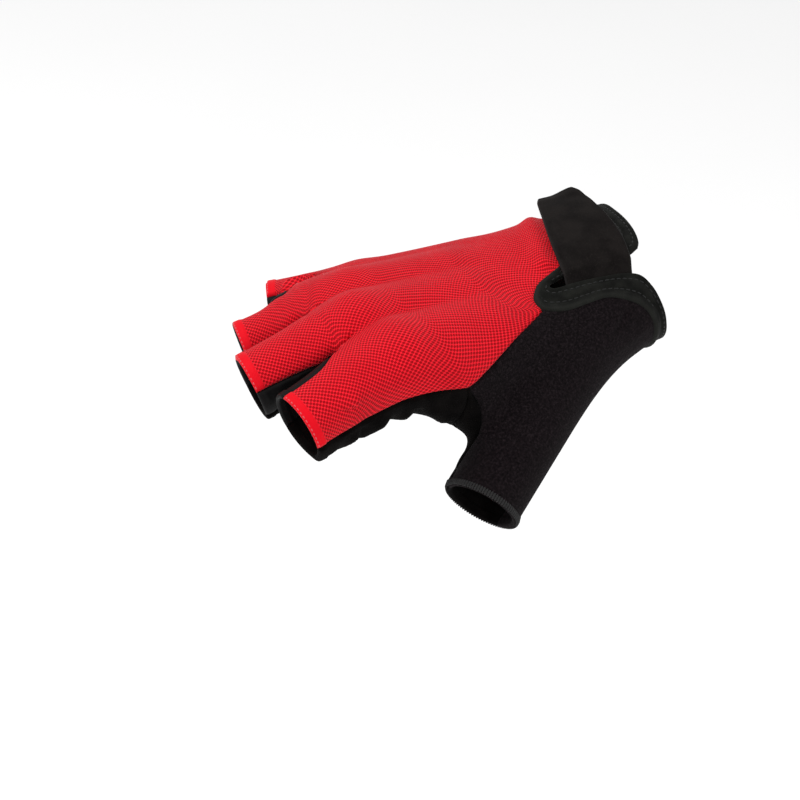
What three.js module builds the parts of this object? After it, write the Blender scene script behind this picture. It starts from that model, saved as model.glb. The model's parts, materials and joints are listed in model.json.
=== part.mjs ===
// A right fingerless cycling glove in the shape that it takes when it is worn.
// Millimetres, +Z up. The fingers point to -X, the glove's back faces +Z, the thumb is on the -Y side.
// The origin is the middle of the wrist opening.
//
// All the panels lie on one smooth form, the glove's worn shape. A panel is a grid of points between two
// seams, drawn onto the form, and then it gets its thickness to both sides.

import * as THREE from "three";

// Cloth: the thickness of each kind of piece and the gap that a seam leaves between two of them.
const BACK_THICKNESS = 1.3;
const PALM_THICKNESS = 1.8;
const THUMB_THICKNESS = 1.4;
const WALL_THICKNESS = 1.0;
const BAND_THICKNESS = 2.0;
const TAB_THICKNESS = 1.6;
const PATCH_THICKNESS = 1.2;
const SEAM_GAP = 0.6;
const LAYER_GAP = 0.35;
const HEM_WIDTH = 3;
const HEM_EXTRA = 0.7;
const HEM_STEP = 0.3;
const HEM_LIP = 0.9;

// Grids: how many steps each kind of panel has along the glove and across it.
const THUMB_SEAM_ROWS = 5;
const INDEX_ROWS = 4;
const FINGER_ROWS = 5;
const THUMB_ROWS = 10;
const WALL_COLUMNS = 4;
const BAND_COLUMNS = 3;

// The glove's body from the wrist to the finger roots: middle, half width, and height above and below it.
const BODY_SECTIONS = [
  { x: 30, y: 0, half: 29, top: 20, bottom: 20 },
  { x: 0, y: 0, half: 30, top: 20, bottom: 20 },
  { x: -25, y: -0.5, half: 32, top: 18.6, bottom: 20 },
  { x: -50, y: -2, half: 34, top: 14.6, bottom: 19 },
  { x: -80, y: -3.5, half: 35, top: 12, bottom: 15 },
  { x: -102, y: -2, half: 34.5, top: 10, bottom: 13 },
  { x: -114, y: 1, half: 33, top: 7, bottom: 9 },
  { x: -122, y: 2, half: 26, top: 2, bottom: 4 },
];
const BODY_END = -122;

// Each finger's line: its root inside the body, the knuckle and the middle of the hem, with a radius at each.
const FINGERS = [
  {
    name: "index",
    root: { at: [-70, -24, 1], radius: 10 },
    knuckle: { at: [-101, -28.5, 3.4], radius: 12.2 },
    hem: { at: [-138.3, -35.9, -7.9], radius: 11.1 },
  },
  {
    name: "middle",
    root: { at: [-70, -7, 1], radius: 10 },
    knuckle: { at: [-106, -9, 4.6], radius: 12 },
    hem: { at: [-144.1, -9, -7.6], radius: 10.5 },
  },
  {
    name: "ring",
    root: { at: [-65, 9, 0], radius: 10 },
    knuckle: { at: [-99, 12, 0.2], radius: 11 },
    hem: { at: [-137.7, 16.2, -10.4], radius: 10 },
  },
  {
    name: "little",
    root: { at: [-55, 22, -5], radius: 10 },
    knuckle: { at: [-89, 30, -7.2], radius: 10.4 },
    hem: { at: [-119, 40.5, -11.8], radius: 9.4 },
  },
];

// The gap between each pair of neighbouring fingers: where it ends, half its width, the radius of the web
// that closes it, and how far the web sits below the fingers' lines.
const GAPS = [
  { x: -120.5, half: 2.1, web: 6, drop: 0 },
  { x: -121.5, half: 1.8, web: 6, drop: 1 },
  { x: -109, half: 1.9, web: 5.5, drop: 2 },
];
const WEB_BEHIND = 4;

// The thumb's joints from the wrist to the middle of its hem, and the web between it and the index finger.
const THUMB = [
  { at: [-26, -16, -8], radius: 13 },
  { at: [-58.4, -37.8, -25.8], radius: 13.2 },
  { at: [-82.3, -53.6, -42.4], radius: 12 },
];
const THUMB_WEB = [
  { at: [-88, -30, -6], radius: 7 },
  { at: [-66, -38, -26], radius: 8 },
];

// How far two parts of the form reach into each other where they meet.
const JOINT_BLEND = 4;
const FINGER_BLEND = 2.4;
const GAP_BLEND = 3;
const WEB_BLEND = 9;
const BODY_BLEND = 14;
const THUMB_BLEND = 26;
const PAST_HEM = 25;

const vec = (a) => new THREE.Vector3(...a);
const mix = (a, b, t) => a + (b - a) * t;

function smoothMin(a, b, reach) {
  const h = Math.max(reach - Math.abs(a - b), 0) / reach;
  return Math.min(a, b) - (h * h * h * reach) / 6;
}
const smoothMax = (a, b, reach) => -smoothMin(-a, -b, reach);

// Distance from p to a cone with round ends.
function cone(p, a, b, radiusA, radiusB) {
  const line = b.clone().sub(a);
  const t = THREE.MathUtils.clamp(p.clone().sub(a).dot(line) / line.lengthSq(), 0, 1);
  return line.multiplyScalar(t).add(a).distanceTo(p) - mix(radiusA, radiusB, t);
}

function bodySection(x) {
  const last = BODY_SECTIONS.length - 2;
  let i = 0;
  while (i < last && x < BODY_SECTIONS[i + 1].x) i += 1;
  const rows = [Math.max(i - 1, 0), i, i + 1, Math.min(i + 2, last + 1)].map((k) => BODY_SECTIONS[k]);
  const t = THREE.MathUtils.clamp((rows[1].x - x) / (rows[1].x - rows[2].x), 0, 1);
  const at = (key) => {
    const [a, b, c, d] = rows.map((row) => row[key]);
    return b + 0.5 * t * (c - a + t * (2 * a - 5 * b + 4 * c - d + t * (3 * b - a - 3 * c + d)));
  };
  return { y: at("y"), half: at("half"), top: at("top"), bottom: at("bottom") };
}

function bodyDistance(p) {
  const section = bodySection(p.x);
  const y = p.y - section.y;
  const deep = p.z > 0 ? section.top : section.bottom;
  const reach = Math.hypot(y / section.half, p.z / deep);
  const steep = Math.hypot(y / section.half ** 2, p.z / deep ** 2) / Math.max(reach, 1e-6);
  const side = (reach - 1) / Math.max(steep, 1e-6);
  const past = BODY_END - p.x;
  return past > 0 ? Math.hypot(Math.max(side, 0), past) : side;
}

const beyond = (a, b, by) => b.clone().addScaledVector(b.clone().sub(a).normalize(), by);
const fingers = FINGERS.map(({ root, knuckle, hem }) => {
  const row = { root: vec(root.at), knuckle: vec(knuckle.at), hem: vec(hem.at) };
  const taper = (hem.radius - knuckle.radius) / row.knuckle.distanceTo(row.hem);
  const tip = beyond(row.knuckle, row.hem, PAST_HEM);
  return { ...row, tip, radii: [root.radius, knuckle.radius, hem.radius + taper * PAST_HEM] };
});
function axisAt(finger, x) {
  const [a, b] = x > finger.knuckle.x ? [finger.root, finger.knuckle] : [finger.knuckle, finger.hem];
  return a.clone().lerp(b, (x - a.x) / (b.x - a.x));
}
const thumb = THUMB.map(({ at, radius }) => ({ at: vec(at), radius }));
thumb.push({ at: beyond(thumb[1].at, thumb[2].at, PAST_HEM), radius: thumb[2].radius });
const thumbWeb = THUMB_WEB.map(({ at, radius }) => ({ at: vec(at), radius }));
const webs = GAPS.map(({ x, web, drop }, i) => {
  const below = vec([0, 0, -drop]);
  const ends = [fingers[i], fingers[i + 1]].map((finger) => axisAt(finger, x + WEB_BEHIND).add(below));
  return { ends, radius: web };
});

// Distance to the thin gap between two fingers, measured sideways from the middle between their axes.
function gapDistance(p, i) {
  const a = axisAt(fingers[i], p.x);
  const b = axisAt(fingers[i + 1], p.x);
  const across = b.clone().sub(a).normalize();
  const aside = p.clone().sub(a.add(b).multiplyScalar(0.5)).dot(across);
  return Math.hypot(aside, Math.max(p.x - GAPS[i].x, 0)) - GAPS[i].half;
}

// The form: negative inside, nought on the surface that the panels lie on.
function form(p) {
  let all = Infinity;
  for (const finger of fingers) {
    const [root, knuckle, tip] = finger.radii;
    const back = cone(p, finger.root, finger.knuckle, root, knuckle);
    const front = cone(p, finger.knuckle, finger.tip, knuckle, tip);
    const one = smoothMin(back, front, JOINT_BLEND);
    all = all === Infinity ? one : smoothMin(all, one, FINGER_BLEND);
  }
  for (const { ends, radius } of webs) {
    all = smoothMin(all, cone(p, ends[0], ends[1], radius, radius), WEB_BLEND);
  }
  all = smoothMin(all, bodyDistance(p), BODY_BLEND);
  for (let i = 0; i < GAPS.length; i += 1) all = smoothMax(all, -gapDistance(p, i), GAP_BLEND);
  const thumbBones = thumb.slice(1).map(({ at, radius }, i) => (
    cone(p, thumb[i].at, at, thumb[i].radius, radius)
  ));
  const [webIn, webOut] = thumbWeb;
  const skin = cone(p, webIn.at, webOut.at, webIn.radius, webOut.radius);
  return smoothMin(all, smoothMin(Math.min(...thumbBones), skin, WEB_BLEND), THUMB_BLEND);
}

const STEP = 0.05;
function slope(p) {
  return vec(["x", "y", "z"].map((axis) => {
    const high = p.clone();
    const low = p.clone();
    high[axis] += STEP;
    low[axis] -= STEP;
    return (form(high) - form(low)) / (2 * STEP);
  }));
}
const outward = (p) => slope(p).normalize();

// Moves a point onto the form, straight along the slope.
function ontoForm(guess) {
  const p = guess.clone();
  for (let round = 0; round < 8; round += 1) {
    const value = form(p);
    if (Math.abs(value) < 1e-4) break;
    const steep = slope(p);
    const length = Math.max(steep.length(), 0.3);
    p.addScaledVector(steep, -THREE.MathUtils.clamp(value / length, -3, 3) / length);
  }
  return p;
}

// A seam: a smooth line through key points, drawn onto the form at even steps.
function seam(keys, steps) {
  const line = new THREE.CatmullRomCurve3(keys.map((key) => (Array.isArray(key) ? vec(key) : key)));
  return Array.from({ length: steps + 1 }, (_, i) => ontoForm(line.getPointAt(i / steps)));
}
const joined = (...lines) => lines.reduce((all, line) => [...all, ...line.slice(1)]);

// The point a part of the way from one seam point to another, along a round arc square to the seams.
function between(a, b, part, along) {
  const [fromA, fromB] = [outward(a), outward(b)];
  const turn = Math.max(fromA.angleTo(fromB), 0.01);
  const t = 0.5 - (0.5 * Math.sin((0.5 - part) * turn)) / Math.sin(turn / 2);
  const up = fromA.add(fromB);
  up.addScaledVector(along, -up.dot(along)).normalize();
  const rise = 2 * a.distanceTo(b) * Math.tan(turn / 4) * t * (1 - t);
  return ontoForm(a.clone().lerp(b, t).addScaledVector(up, rise));
}

// A strip of cloth between two seams. Its first row can be a seam too.
function strip(left, right, columns, first = null) {
  const last = left.length - 1;
  return left.map((a, row) => {
    const [before, after] = [Math.max(row - 1, 0), Math.min(row + 1, last)];
    const along = left[after].clone().sub(left[before]).add(right[after]).sub(right[before]).normalize();
    return Array.from({ length: columns + 1 }, (_, column) => {
      if (row === 0 && first !== null) return first[column];
      if (column === 0) return a;
      return column === columns ? right[row] : between(a, right[row], column / columns, along);
    });
  });
}

// The cuff band between the panels and the open edge, once round the wrist and round the slit on the back.
const BAND = [
  { name: "ulnar corner of the slit", inner: [-14, -9.5, 18.5], edge: [-8.6, -15.2, 17.4], steps: 3 },
  { name: "slit, middle", inner: [-27, -11.5, 17.5], edge: [-25, -18.6, 16.2], steps: 2 },
  { name: "slit, far", inner: [-38.3, -16, 15.9], edge: [-37, -18.9, 15.5], steps: 1 },
  { name: "loop, ulnar", inner: [-45.6, -18.6, 14.2], edge: [-42.2, -19.5, 14.5], steps: 2 },
  { name: "loop, end", inner: [-50.2, -23.6, 12.2], edge: [-43.8, -21, 13.8], steps: 2 },
  { name: "thumb seam", inner: [-49.2, -28, 10.7], edge: [-42.6, -22.2, 13.6], steps: 2 },
  { name: "radial side of the slit", inner: [-40.9, -30.1, 10.1], edge: [-37, -22.4, 14.1], steps: 2 },
  { name: "radial, middle", inner: [-27.5, -29, 11], edge: [-26, -23.2, 14.6], steps: 2 },
  { name: "radial corner", inner: [-17, -30.7, 7.6], edge: [-12.8, -24.3, 13.2], steps: 2 },
  { name: "radial side", inner: [-12, -31.8, 3], edge: [-7.4, -29.8, 5.2], steps: 2 },
  { name: "radial low side", inner: [-9.3, -31, -4.5], edge: [-4.4, -30.4, -4.6], steps: 1 },
  { name: "radial palm side", inner: [-8.2, -25.2, -12.6], edge: [-2, -24.2, -12.8], steps: 1 },
  { name: "palm seam", inner: [-8, -18.5, -16.6], edge: [-0.8, -17, -16.8], steps: 11 },
  { name: "palm, middle", inner: [-8, 2, -20], edge: [-0.2, 2, -20], steps: 8 },
  { name: "palm, ulnar", inner: [-8, 22, -14.2], edge: [-0.2, 22, -13.8], steps: 7 },
  { name: "ulnar seam", inner: [-8, 30.2, -3], edge: [-0.2, 30, -3], steps: 6 },
  { name: "ulnar side", inner: [-10, 26, 10], edge: [-2, 24.6, 10.8], steps: 6 },
  { name: "back, ulnar", inner: [-12.6, 11, 18.2], edge: [-4.6, 10.5, 18.6], steps: 8 },
];
const bandRow = (name) => BAND.findIndex((row) => row.name === name);
const bandLine = (side) => (
  new THREE.CatmullRomCurve3(BAND.map((row) => vec(row[side])), true, "centripetal")
);
const bandStart = BAND.map((_, i) => BAND.slice(0, i).reduce((sum, { steps }) => sum + steps, 0));
const bandLoops = Object.fromEntries(["inner", "edge"].map((side) => {
  const line = bandLine(side);
  const points = BAND.flatMap(({ steps }, i) => (
    Array.from({ length: steps }, (_, k) => ontoForm(line.getPoint((i + k / steps) / BAND.length)))
  ));
  return [side, points];
}));

// The points of the band's inner line from one named row to another.
function bandPart(from, to) {
  const count = bandLoops.inner.length;
  const start = bandStart[bandRow(from)];
  const steps = (bandStart[bandRow(to)] - start + count) % count;
  return Array.from({ length: steps + 1 }, (_, i) => bandLoops.inner[(start + i) % count]);
}

// Key points of the seams and of the lines between two strips of a panel, from the wrist towards the hems.
// The corner is the spot where the back, the thumb and the palm meet.
const CORNER = [-82.6, -43, -3.2];
const THUMB_BACK_SEAM = [[-58.9, -33.7, 7.8]];
const INDEX_SEAM = [[-97, -42.4, -1.6], [-108, -42, -3.4], [-118, -43.5, -5]];
const WEB_SEAM = [[-78.6, -43.2, -11], [-78.2, -43.4, -18], [-80.4, -41.6, -27], [-85.5, -42.6, -33]];
const THUMB_PALM_SEAM = [[-28, -20, -22], [-50.8, -37.6, -37.3]];
const THUMB_BACK_LINE = [[-36, -36, -2], [-59, -46.8, -15.7]];
const THUMB_PALM_LINE = [[-38, -16, -24], [-61, -26, -31], [-73.5, -34.5, -40]];
const WEB_LINE = [[-40, -10, -22], [-64, -20, -22], [-77, -30, -22], [-81, -38, -14]];
const INDEX_BACK_LINE = [[-50, -20, 14], [-90, -35, 10], [-115, -34.5, 12]];
const ULNAR_SEAM = [[-40, 34.5, -3], [-75, 36.5, -6], [-95, 41, -9]];
const GAP_BACK = [[-119, -21.3, 6], [-119.4, 4.3, 5.2], [-107, 27, 1]];
const GAP_PALM = [[-118.5, -20, -6.4], [-119.5, 1.6, -7], [-107.3, 22.8, -11.5]];

// Seams around each finger, in degrees from its back, where a turn towards the thumb is negative.
const FINGER_SEAMS = [
  { name: "index", backThumb: -101, backLine: -35, backLittle: 28, palmThumb: -101, palmLittle: 122 },
  { name: "middle", backThumb: -66, backLittle: 48, palmThumb: -122, palmLittle: 122 },
  { name: "ring", backThumb: -62, backLittle: 30, palmThumb: -122, palmLittle: 122 },
  { name: "little", backThumb: -34, backLittle: 98, palmThumb: -122, palmLittle: 98 },
];
// Seams and lines around the thumb's hem, in degrees from the direction that the back of the thumb faces.
const THUMB_FACING = [-0.084, -0.65, 0.756];
const THUMB_SEAMS = { web: 91, back: 0, palm: -135, palmLine: 155 };

// A point on the form near a hem: so many degrees around the finger's line and so far back from the hem.
const INSIDE = 8.5;
function ring(from, hem, facing) {
  const line = hem.clone().sub(from).normalize();
  const up = facing.clone().addScaledVector(line, -facing.dot(line)).normalize();
  return { hem, line, up, across: line.clone().cross(up) };
}
function onRing({ hem, line, up }, degrees, back) {
  const turned = up.clone().applyAxisAngle(line, THREE.MathUtils.degToRad(degrees));
  return ontoForm(hem.clone().addScaledVector(line, -back).addScaledVector(turned, INSIDE));
}
const fingerRings = fingers.map(({ knuckle, hem }) => ring(knuckle, hem, vec([0, 0, 1])));
const thumbRing = ring(thumb[1].at, thumb[2].at, vec(THUMB_FACING));

// Hems: the rows from the panel's cloth to the very edge, given by their distance back from it.
const HEM_BACK = [HEM_WIDTH + HEM_STEP, HEM_WIDTH, HEM_LIP, 0];
const hemRows = (around, degrees) => HEM_BACK.map((back) => onRing(around, degrees, back));
function toThumb(side, keys, steps) {
  const ends = hemRows(thumbRing, THUMB_SEAMS[side]);
  return joined(seam([...keys, ends[0]], steps), ends);
}

// A seam along a finger, from a point near its root to the hem. It soon turns to its own side of the finger.
function toFinger(i, side, start) {
  const around = fingerRings[i];
  const from = start.clone().sub(around.hem);
  const first = THREE.MathUtils.radToDeg(Math.atan2(from.dot(around.across), from.dot(around.up)));
  const last = FINGER_SEAMS[i][side];
  const away = -from.dot(around.line);
  const rows = Array.from({ length: FINGER_ROWS }, (_, k) => {
    const t = (k + 1) / FINGER_ROWS;
    return onRing(around, mix(first, last, 1 - (1 - t) ** 2), mix(away, HEM_BACK[0], t));
  });
  return joined([start, ...rows], hemRows(around, last));
}

// The seams between neighbouring fingers, each from the end of the gap to a hem.
const gapEnds = {
  back: GAP_BACK.map((end) => ontoForm(vec(end))),
  palm: GAP_PALM.map((end) => ontoForm(vec(end))),
};
const gapSeams = GAPS.map((_, i) => ({
  backLow: toFinger(i, "backLittle", gapEnds.back[i]),
  backHigh: toFinger(i + 1, "backThumb", gapEnds.back[i]),
  palmLow: toFinger(i, "palmLittle", gapEnds.palm[i]),
  palmHigh: toFinger(i + 1, "palmThumb", gapEnds.palm[i]),
}));

// Seams that two panels share. The rows of the back and the palm are counted along them.
const slitSeam = bandPart("ulnar corner of the slit", "thumb seam");
const wristBack = bandPart("ulnar seam", "ulnar corner of the slit").reverse();
const wristThumb = bandPart("thumb seam", "palm seam");
const wristPalm = bandPart("palm seam", "ulnar seam");
const thumbSeamKeys = [slitSeam.at(-1), ...THUMB_BACK_SEAM, CORNER];
const CORNER_ROW = slitSeam.length - 1 + THUMB_SEAM_ROWS;
const BODY_ROWS = CORNER_ROW + INDEX_ROWS;
const indexSeam = seam([CORNER, ...INDEX_SEAM], INDEX_ROWS);
const indexSide = joined(indexSeam, toFinger(0, "backThumb", indexSeam.at(-1)));
const ulnarBody = seam([wristBack.at(-1), ...ULNAR_SEAM], BODY_ROWS);
const ulnarSeam = joined(ulnarBody, toFinger(3, "backLittle", ulnarBody.at(-1)));
const webSide = toThumb("web", [CORNER, ...WEB_SEAM], THUMB_ROWS);
const thumbPalmSeam = toThumb("palm", [wristThumb.at(-1), ...THUMB_PALM_SEAM], CORNER_ROW + THUMB_ROWS);

function backStrips() {
  const starts = [0, 4, 7, 11, 15, 20];
  const radial = joined(slitSeam, seam(thumbSeamKeys, THUMB_SEAM_ROWS), indexSide);
  const indexBody = seam([wristBack[starts[1]], ...INDEX_BACK_LINE], BODY_ROWS);
  const indexLine = joined(indexBody, toFinger(0, "backLine", indexBody.at(-1)));
  const lines = gapEnds.back.map((end, i) => seam([wristBack[starts[i + 2]], end], BODY_ROWS));
  const lefts = [radial, indexLine, ...lines.map((line, i) => joined(line, gapSeams[i].backHigh))];
  const rights = [indexLine, ...lines.map((line, i) => joined(line, gapSeams[i].backLow)), ulnarSeam];
  return lefts.map((left, i) => (
    strip(left, rights[i], starts[i + 1] - starts[i], wristBack.slice(starts[i], starts[i + 1] + 1))
  ));
}

function palmStrips() {
  const starts = [0, 3, 6, 11, 16, 21, 26];
  const web = seam([wristPalm[starts[2]], ...WEB_LINE, CORNER], CORNER_ROW);
  const thumbLineKeys = [wristPalm[starts[1]], ...THUMB_PALM_LINE];
  const thumbLine = toThumb("palmLine", thumbLineKeys, CORNER_ROW + THUMB_ROWS);
  const lines = gapEnds.palm.map((end, i) => seam([wristPalm[starts[i + 3]], end], BODY_ROWS));
  const lefts = [thumbPalmSeam, thumbLine, joined(web, indexSide)];
  const rights = [thumbLine, joined(web, webSide)];
  lines.forEach((line, i) => {
    rights.push(joined(line, gapSeams[i].palmLow));
    lefts.push(joined(line, gapSeams[i].palmHigh));
  });
  rights.push(ulnarSeam);
  return lefts.map((left, i) => (
    strip(left, rights[i], starts[i + 1] - starts[i], wristPalm.slice(starts[i], starts[i + 1] + 1))
  ));
}

function thumbStrips() {
  const columns = (wristThumb.length - 1) / 2;
  const web = joined(seam(thumbSeamKeys, CORNER_ROW), webSide);
  const back = toThumb("back", [wristThumb[columns], ...THUMB_BACK_LINE], CORNER_ROW + THUMB_ROWS);
  return [
    strip(web, back, columns, wristThumb.slice(0, columns + 1)),
    strip(back, thumbPalmSeam, columns, wristThumb.slice(columns)),
  ];
}

// The row of a wall at the end of the gap, in even steps round the web from the back to the palm. The web's
// surface is met straight out from its middle, in directions that turn from one end to the other.
const WEB_STEPS = 24;
const WEB_ROUNDS = 16;
function webRow(i) {
  const [a, b] = webs[i].ends;
  const centre = a.clone().lerp(b, 0.5);
  const from = (end) => end.clone().sub(centre).normalize();
  const [toBack, toPalm] = [from(gapEnds.back[i]), from(gapEnds.palm[i])];
  const turn = toBack.angleTo(toPalm);
  const line = Array.from({ length: WEB_STEPS + 1 }, (_, step) => {
    const angle = (turn * step) / WEB_STEPS;
    const way = toBack.clone().multiplyScalar(Math.sin(turn - angle));
    way.addScaledVector(toPalm, Math.sin(angle)).normalize();
    const at = centre.clone();
    for (let round = 0; round < WEB_ROUNDS; round += 1) at.addScaledVector(way, -form(at));
    return at;
  });
  const row = new THREE.CatmullRomCurve3(line).getSpacedPoints(WALL_COLUMNS).map(ontoForm);
  return [gapEnds.back[i], ...row.slice(1, -1), gapEnds.palm[i]];
}

// The wall between two fingers runs from one hem to the end of the gap and out to the other hem.
function wallStrip(i) {
  const { backLow, backHigh, palmLow, palmHigh } = gapSeams[i];
  const there = (low, high) => joined([...low].reverse(), high);
  const grid = strip(there(backLow, backHigh), there(palmLow, palmHigh), WALL_COLUMNS);
  grid[(grid.length - 1) / 2] = webRow(i);
  return grid;
}

function bandStrip() {
  const close = (points) => [...points, points[0]];
  const grid = strip(close(bandLoops.inner), close(bandLoops.edge), BAND_COLUMNS);
  return close(grid.slice(0, -1));
}

// Folds, pads and gathers stand out from the form by height within about width of a line.
const FOLDS = {
  back: [
    { name: "ridge beside the tab", from: [-29, 25, 12.4], to: [-41, -10, 16.5], width: 3.2, height: 1.6 },
    { name: "valley under the tab", from: [-23, 26, 12.4], to: [-35, -8, 17], width: 4, height: -0.5 },
  ],
  palm: [
    { name: "gather at the hem", from: [-130, -42, -13], to: [-133, -40, -17], width: 3, height: 1 },
    { name: "gather at the finger", from: [-112, -41, -11], to: [-117, -40, -14], width: 4, height: 3.2 },
    { name: "gather at the knuckle", from: [-103, -38, -11], to: [-105, -36, -13], width: 3, height: 2.2 },
    { name: "gather at the web", from: [-93, -41, -10], to: [-89, -38, -14], width: 3, height: 1.8 },
    { name: "gather at the thumb", from: [-85, -40, -31], to: [-86, -37, -35], width: 2.6, height: 1.6 },
    { name: "gather by its hem", from: [-90, -42.5, -34.5], to: [-94, -40, -39], width: 3.6, height: 2.6 },
    { name: "outer pad", from: [-28, 18, -18], to: [-62, 22, -16], width: 9, height: 2 },
    { name: "thumb pad", from: [-30, -16, -24], to: [-46, -24, -31], width: 7, height: 1.6 },
    { name: "finger pad", from: [-96, -20, -14], to: [-94, 20, -16], width: 6, height: 1.6 },
  ],
};
function foldAt(folds, p) {
  return folds.reduce((sum, { from, to, width, height }) => {
    const distance = cone(p, vec(from), vec(to), 0, 0);
    return sum + height * Math.exp(-((distance / width) ** 2));
  }, 0);
}

// Numbers the points of a panel's strips, so that strips that share a seam share its points too. A point of
// a hem, or of a wall's row at the end of its gap, stays where it is when the cloth settles.
function numberPoints(strips, points, thicknessAt, hems) {
  const known = new Map();
  return strips.map((grid) => grid.map((rowPoints, row) => rowPoints.map((p) => {
    const key = p.toArray().map((value) => value.toFixed(3)).join();
    if (!known.has(key)) {
      const inLastHem = hems > 0 && grid.length - row <= HEM_BACK.length;
      const inFirstHem = hems > 1 && row < HEM_BACK.length;
      const atWeb = hems > 1 && row === (grid.length - 1) / 2;
      const half = thicknessAt(row, grid.length) / 2;
      known.set(key, points.length);
      points.push({ at: p.clone(), half, fixed: inLastHem || inFirstHem || atWeb, near: [], moves: [] });
    }
    return known.get(key);
  })));
}

// The triangles of one strip, all facing out of the form.
function sheetFaces(ids, points) {
  const sheet = [];
  for (let row = 0; row + 1 < ids.length; row += 1) {
    for (let column = 0; column + 1 < ids[row].length; column += 1) {
      const [a, b] = ids[row].slice(column, column + 2);
      const [d, c] = ids[row + 1].slice(column, column + 2);
      sheet.push([a, b, c], [a, c, d]);
      for (const [from, to] of [[a, b], [b, c], [c, d], [d, a]]) {
        points[from].near.push(to);
        points[to].near.push(from);
      }
    }
  }
  const facing = sheet.reduce((sum, face) => {
    const [a, b, c] = face.map((id) => points[id].at);
    return sum + b.clone().sub(a).cross(c.clone().sub(a)).dot(outward(a));
  }, 0);
  const whole = sheet.filter((face) => new Set(face).size === 3);
  return whole.map((face) => (facing < 0 ? face.reverse() : face));
}

// The edges that only one triangle has, in that triangle's direction.
function borderOf(faces) {
  const edges = new Map();
  for (const [a, b, c] of faces) {
    for (const [from, to] of [[a, b], [b, c], [c, a]]) edges.set(`${from} ${to}`, [from, to]);
  }
  return [...edges.values()].filter(([from, to]) => !edges.has(`${to} ${from}`));
}

// Evens out a panel's grid: each free point goes to the middle of its neighbours and back onto the form.
const SETTLE_ROUNDS = 7;
function settle(points) {
  for (let round = 0; round < SETTLE_ROUNDS; round += 1) {
    for (const point of points.filter(({ fixed }) => !fixed)) {
      point.at.set(0, 0, 0);
      for (const id of point.near) point.at.addScaledVector(points[id].at, 1 / point.near.length);
      point.at.copy(ontoForm(point.at));
    }
  }
  for (const point of points) point.normal = outward(point.at);
}

// Moves a panel's border in by half the seam gap. A border point moves less than that over the square where
// its two edges meet at a sharp corner, so it goes further there, up to twice as far.
function openSeams(points, border) {
  for (const edge of border) {
    const [a, b] = edge.map((id) => points[id]);
    const inward = a.normal.clone().add(b.normal).cross(b.at.clone().sub(a.at)).normalize();
    a.moves.push(inward);
    b.moves.push(inward);
  }
  for (const point of points.filter(({ moves }) => moves.length > 0)) {
    const way = point.moves.reduce((sum, move) => sum.add(move), new THREE.Vector3()).normalize();
    const share = Math.max(way.dot(point.moves[0]), 0.5);
    point.at = ontoForm(point.at.addScaledVector(way, SEAM_GAP / 2 / share));
    point.normal = outward(point.at);
  }
}

// One solid from the strips of a panel: every point goes out to both sides by half the thickness there.
function solid(strips, thicknessAt, hems, liftAt = () => 0) {
  const points = [];
  const faces = numberPoints(strips, points, thicknessAt, hems).flatMap((ids) => sheetFaces(ids, points));
  const border = borderOf(faces);
  for (const id of border.flat()) points[id].fixed = true;
  settle(points);
  openSeams(points, border);
  const side = (sign) => points.flatMap(({ at, normal, half }) => (
    at.clone().addScaledVector(normal, liftAt(at) + sign * half).toArray()
  ));
  const count = points.length;
  const index = [
    ...faces.flat(),
    ...border.flatMap(([a, b]) => [b, a, a + count, b, a + count, b + count]),
    ...faces.flatMap(([a, b, c]) => [a + count, c + count, b + count]),
  ];
  const geometry = new THREE.BufferGeometry();
  geometry.setAttribute("position", new THREE.Float32BufferAttribute([...side(1), ...side(-1)], 3));
  geometry.setIndex(index);
  return geometry;
}

// Thickness of a panel whose last rows are a turned hem, or whose first rows are one as well.
const hemRow = (row) => (row < HEM_BACK.length - 1 ? HEM_EXTRA : 0);
const withHem = (thickness) => (row, rows) => thickness + hemRow(rows - 1 - row);
const withHems = (thickness) => (row, rows) => thickness + hemRow(rows - 1 - row) + hemRow(row);
const even = (thickness) => () => thickness;

// The closure tab goes from the slit over to its tip: both ends of each row, and how far it stands off.
const TAB = [
  { name: "root", left: [-38.6, -21.6, 14.2], right: [-14.4, -22.9, 14.2], lift: 0.4 },
  { name: "over the slit", left: [-38.3, -19.2, 15.1], right: [-14.2, -20.4, 15.6], lift: 2.2 },
  { name: "over the band", left: [-37.3, -12, 16.8], right: [-13.2, -13, 18], lift: 3.3 },
  { name: "middle", left: [-35.2, -3, 17.6], right: [-12.7, -4, 19.6], lift: 4 },
  { name: "upper middle", left: [-32.2, 7, 17.6], right: [-12.6, 5.5, 19.7], lift: 4.8 },
  { name: "near the tip", left: [-28.6, 17, 15.6], right: [-12.8, 15, 17.6], lift: 6.2 },
  { name: "tip", left: [-26.4, 20.6, 14], right: [-14.4, 19.2, 16], lift: 6.8 },
];
const TAB_ROWS = 12;
const TAB_COLUMNS = 6;
function tabStrip() {
  const line = (side) => new THREE.CatmullRomCurve3(TAB.map((row) => vec(row[side])));
  const sample = (side) => line(side).getPoints(TAB_ROWS).map(ontoForm);
  return strip(sample("left"), sample("right"), TAB_COLUMNS);
}

// The fastener patch fills the space under the outer part of the tab.
const PATCH_ROWS = [6, 11];
const PATCH_COLUMNS = [1, 5];
const part = (list, [first, last]) => list.slice(first, last + 1);
const patchStrip = (tab) => part(tab, PATCH_ROWS).map((row) => part(row, PATCH_COLUMNS));
function tabLift(p) {
  const middles = TAB.map(({ left, right, lift }) => ({ at: vec(left).lerp(vec(right), 0.5), lift }));
  let i = 0;
  while (i < middles.length - 2 && p.y > middles[i + 1].at.y) i += 1;
  const [a, b] = [middles[i], middles[i + 1]];
  return mix(a.lift, b.lift, THREE.MathUtils.clamp((p.y - a.at.y) / (b.at.y - a.at.y), 0, 1));
}
const PATCH_DROP = (TAB_THICKNESS + PATCH_THICKNESS) / 2 + LAYER_GAP;

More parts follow.
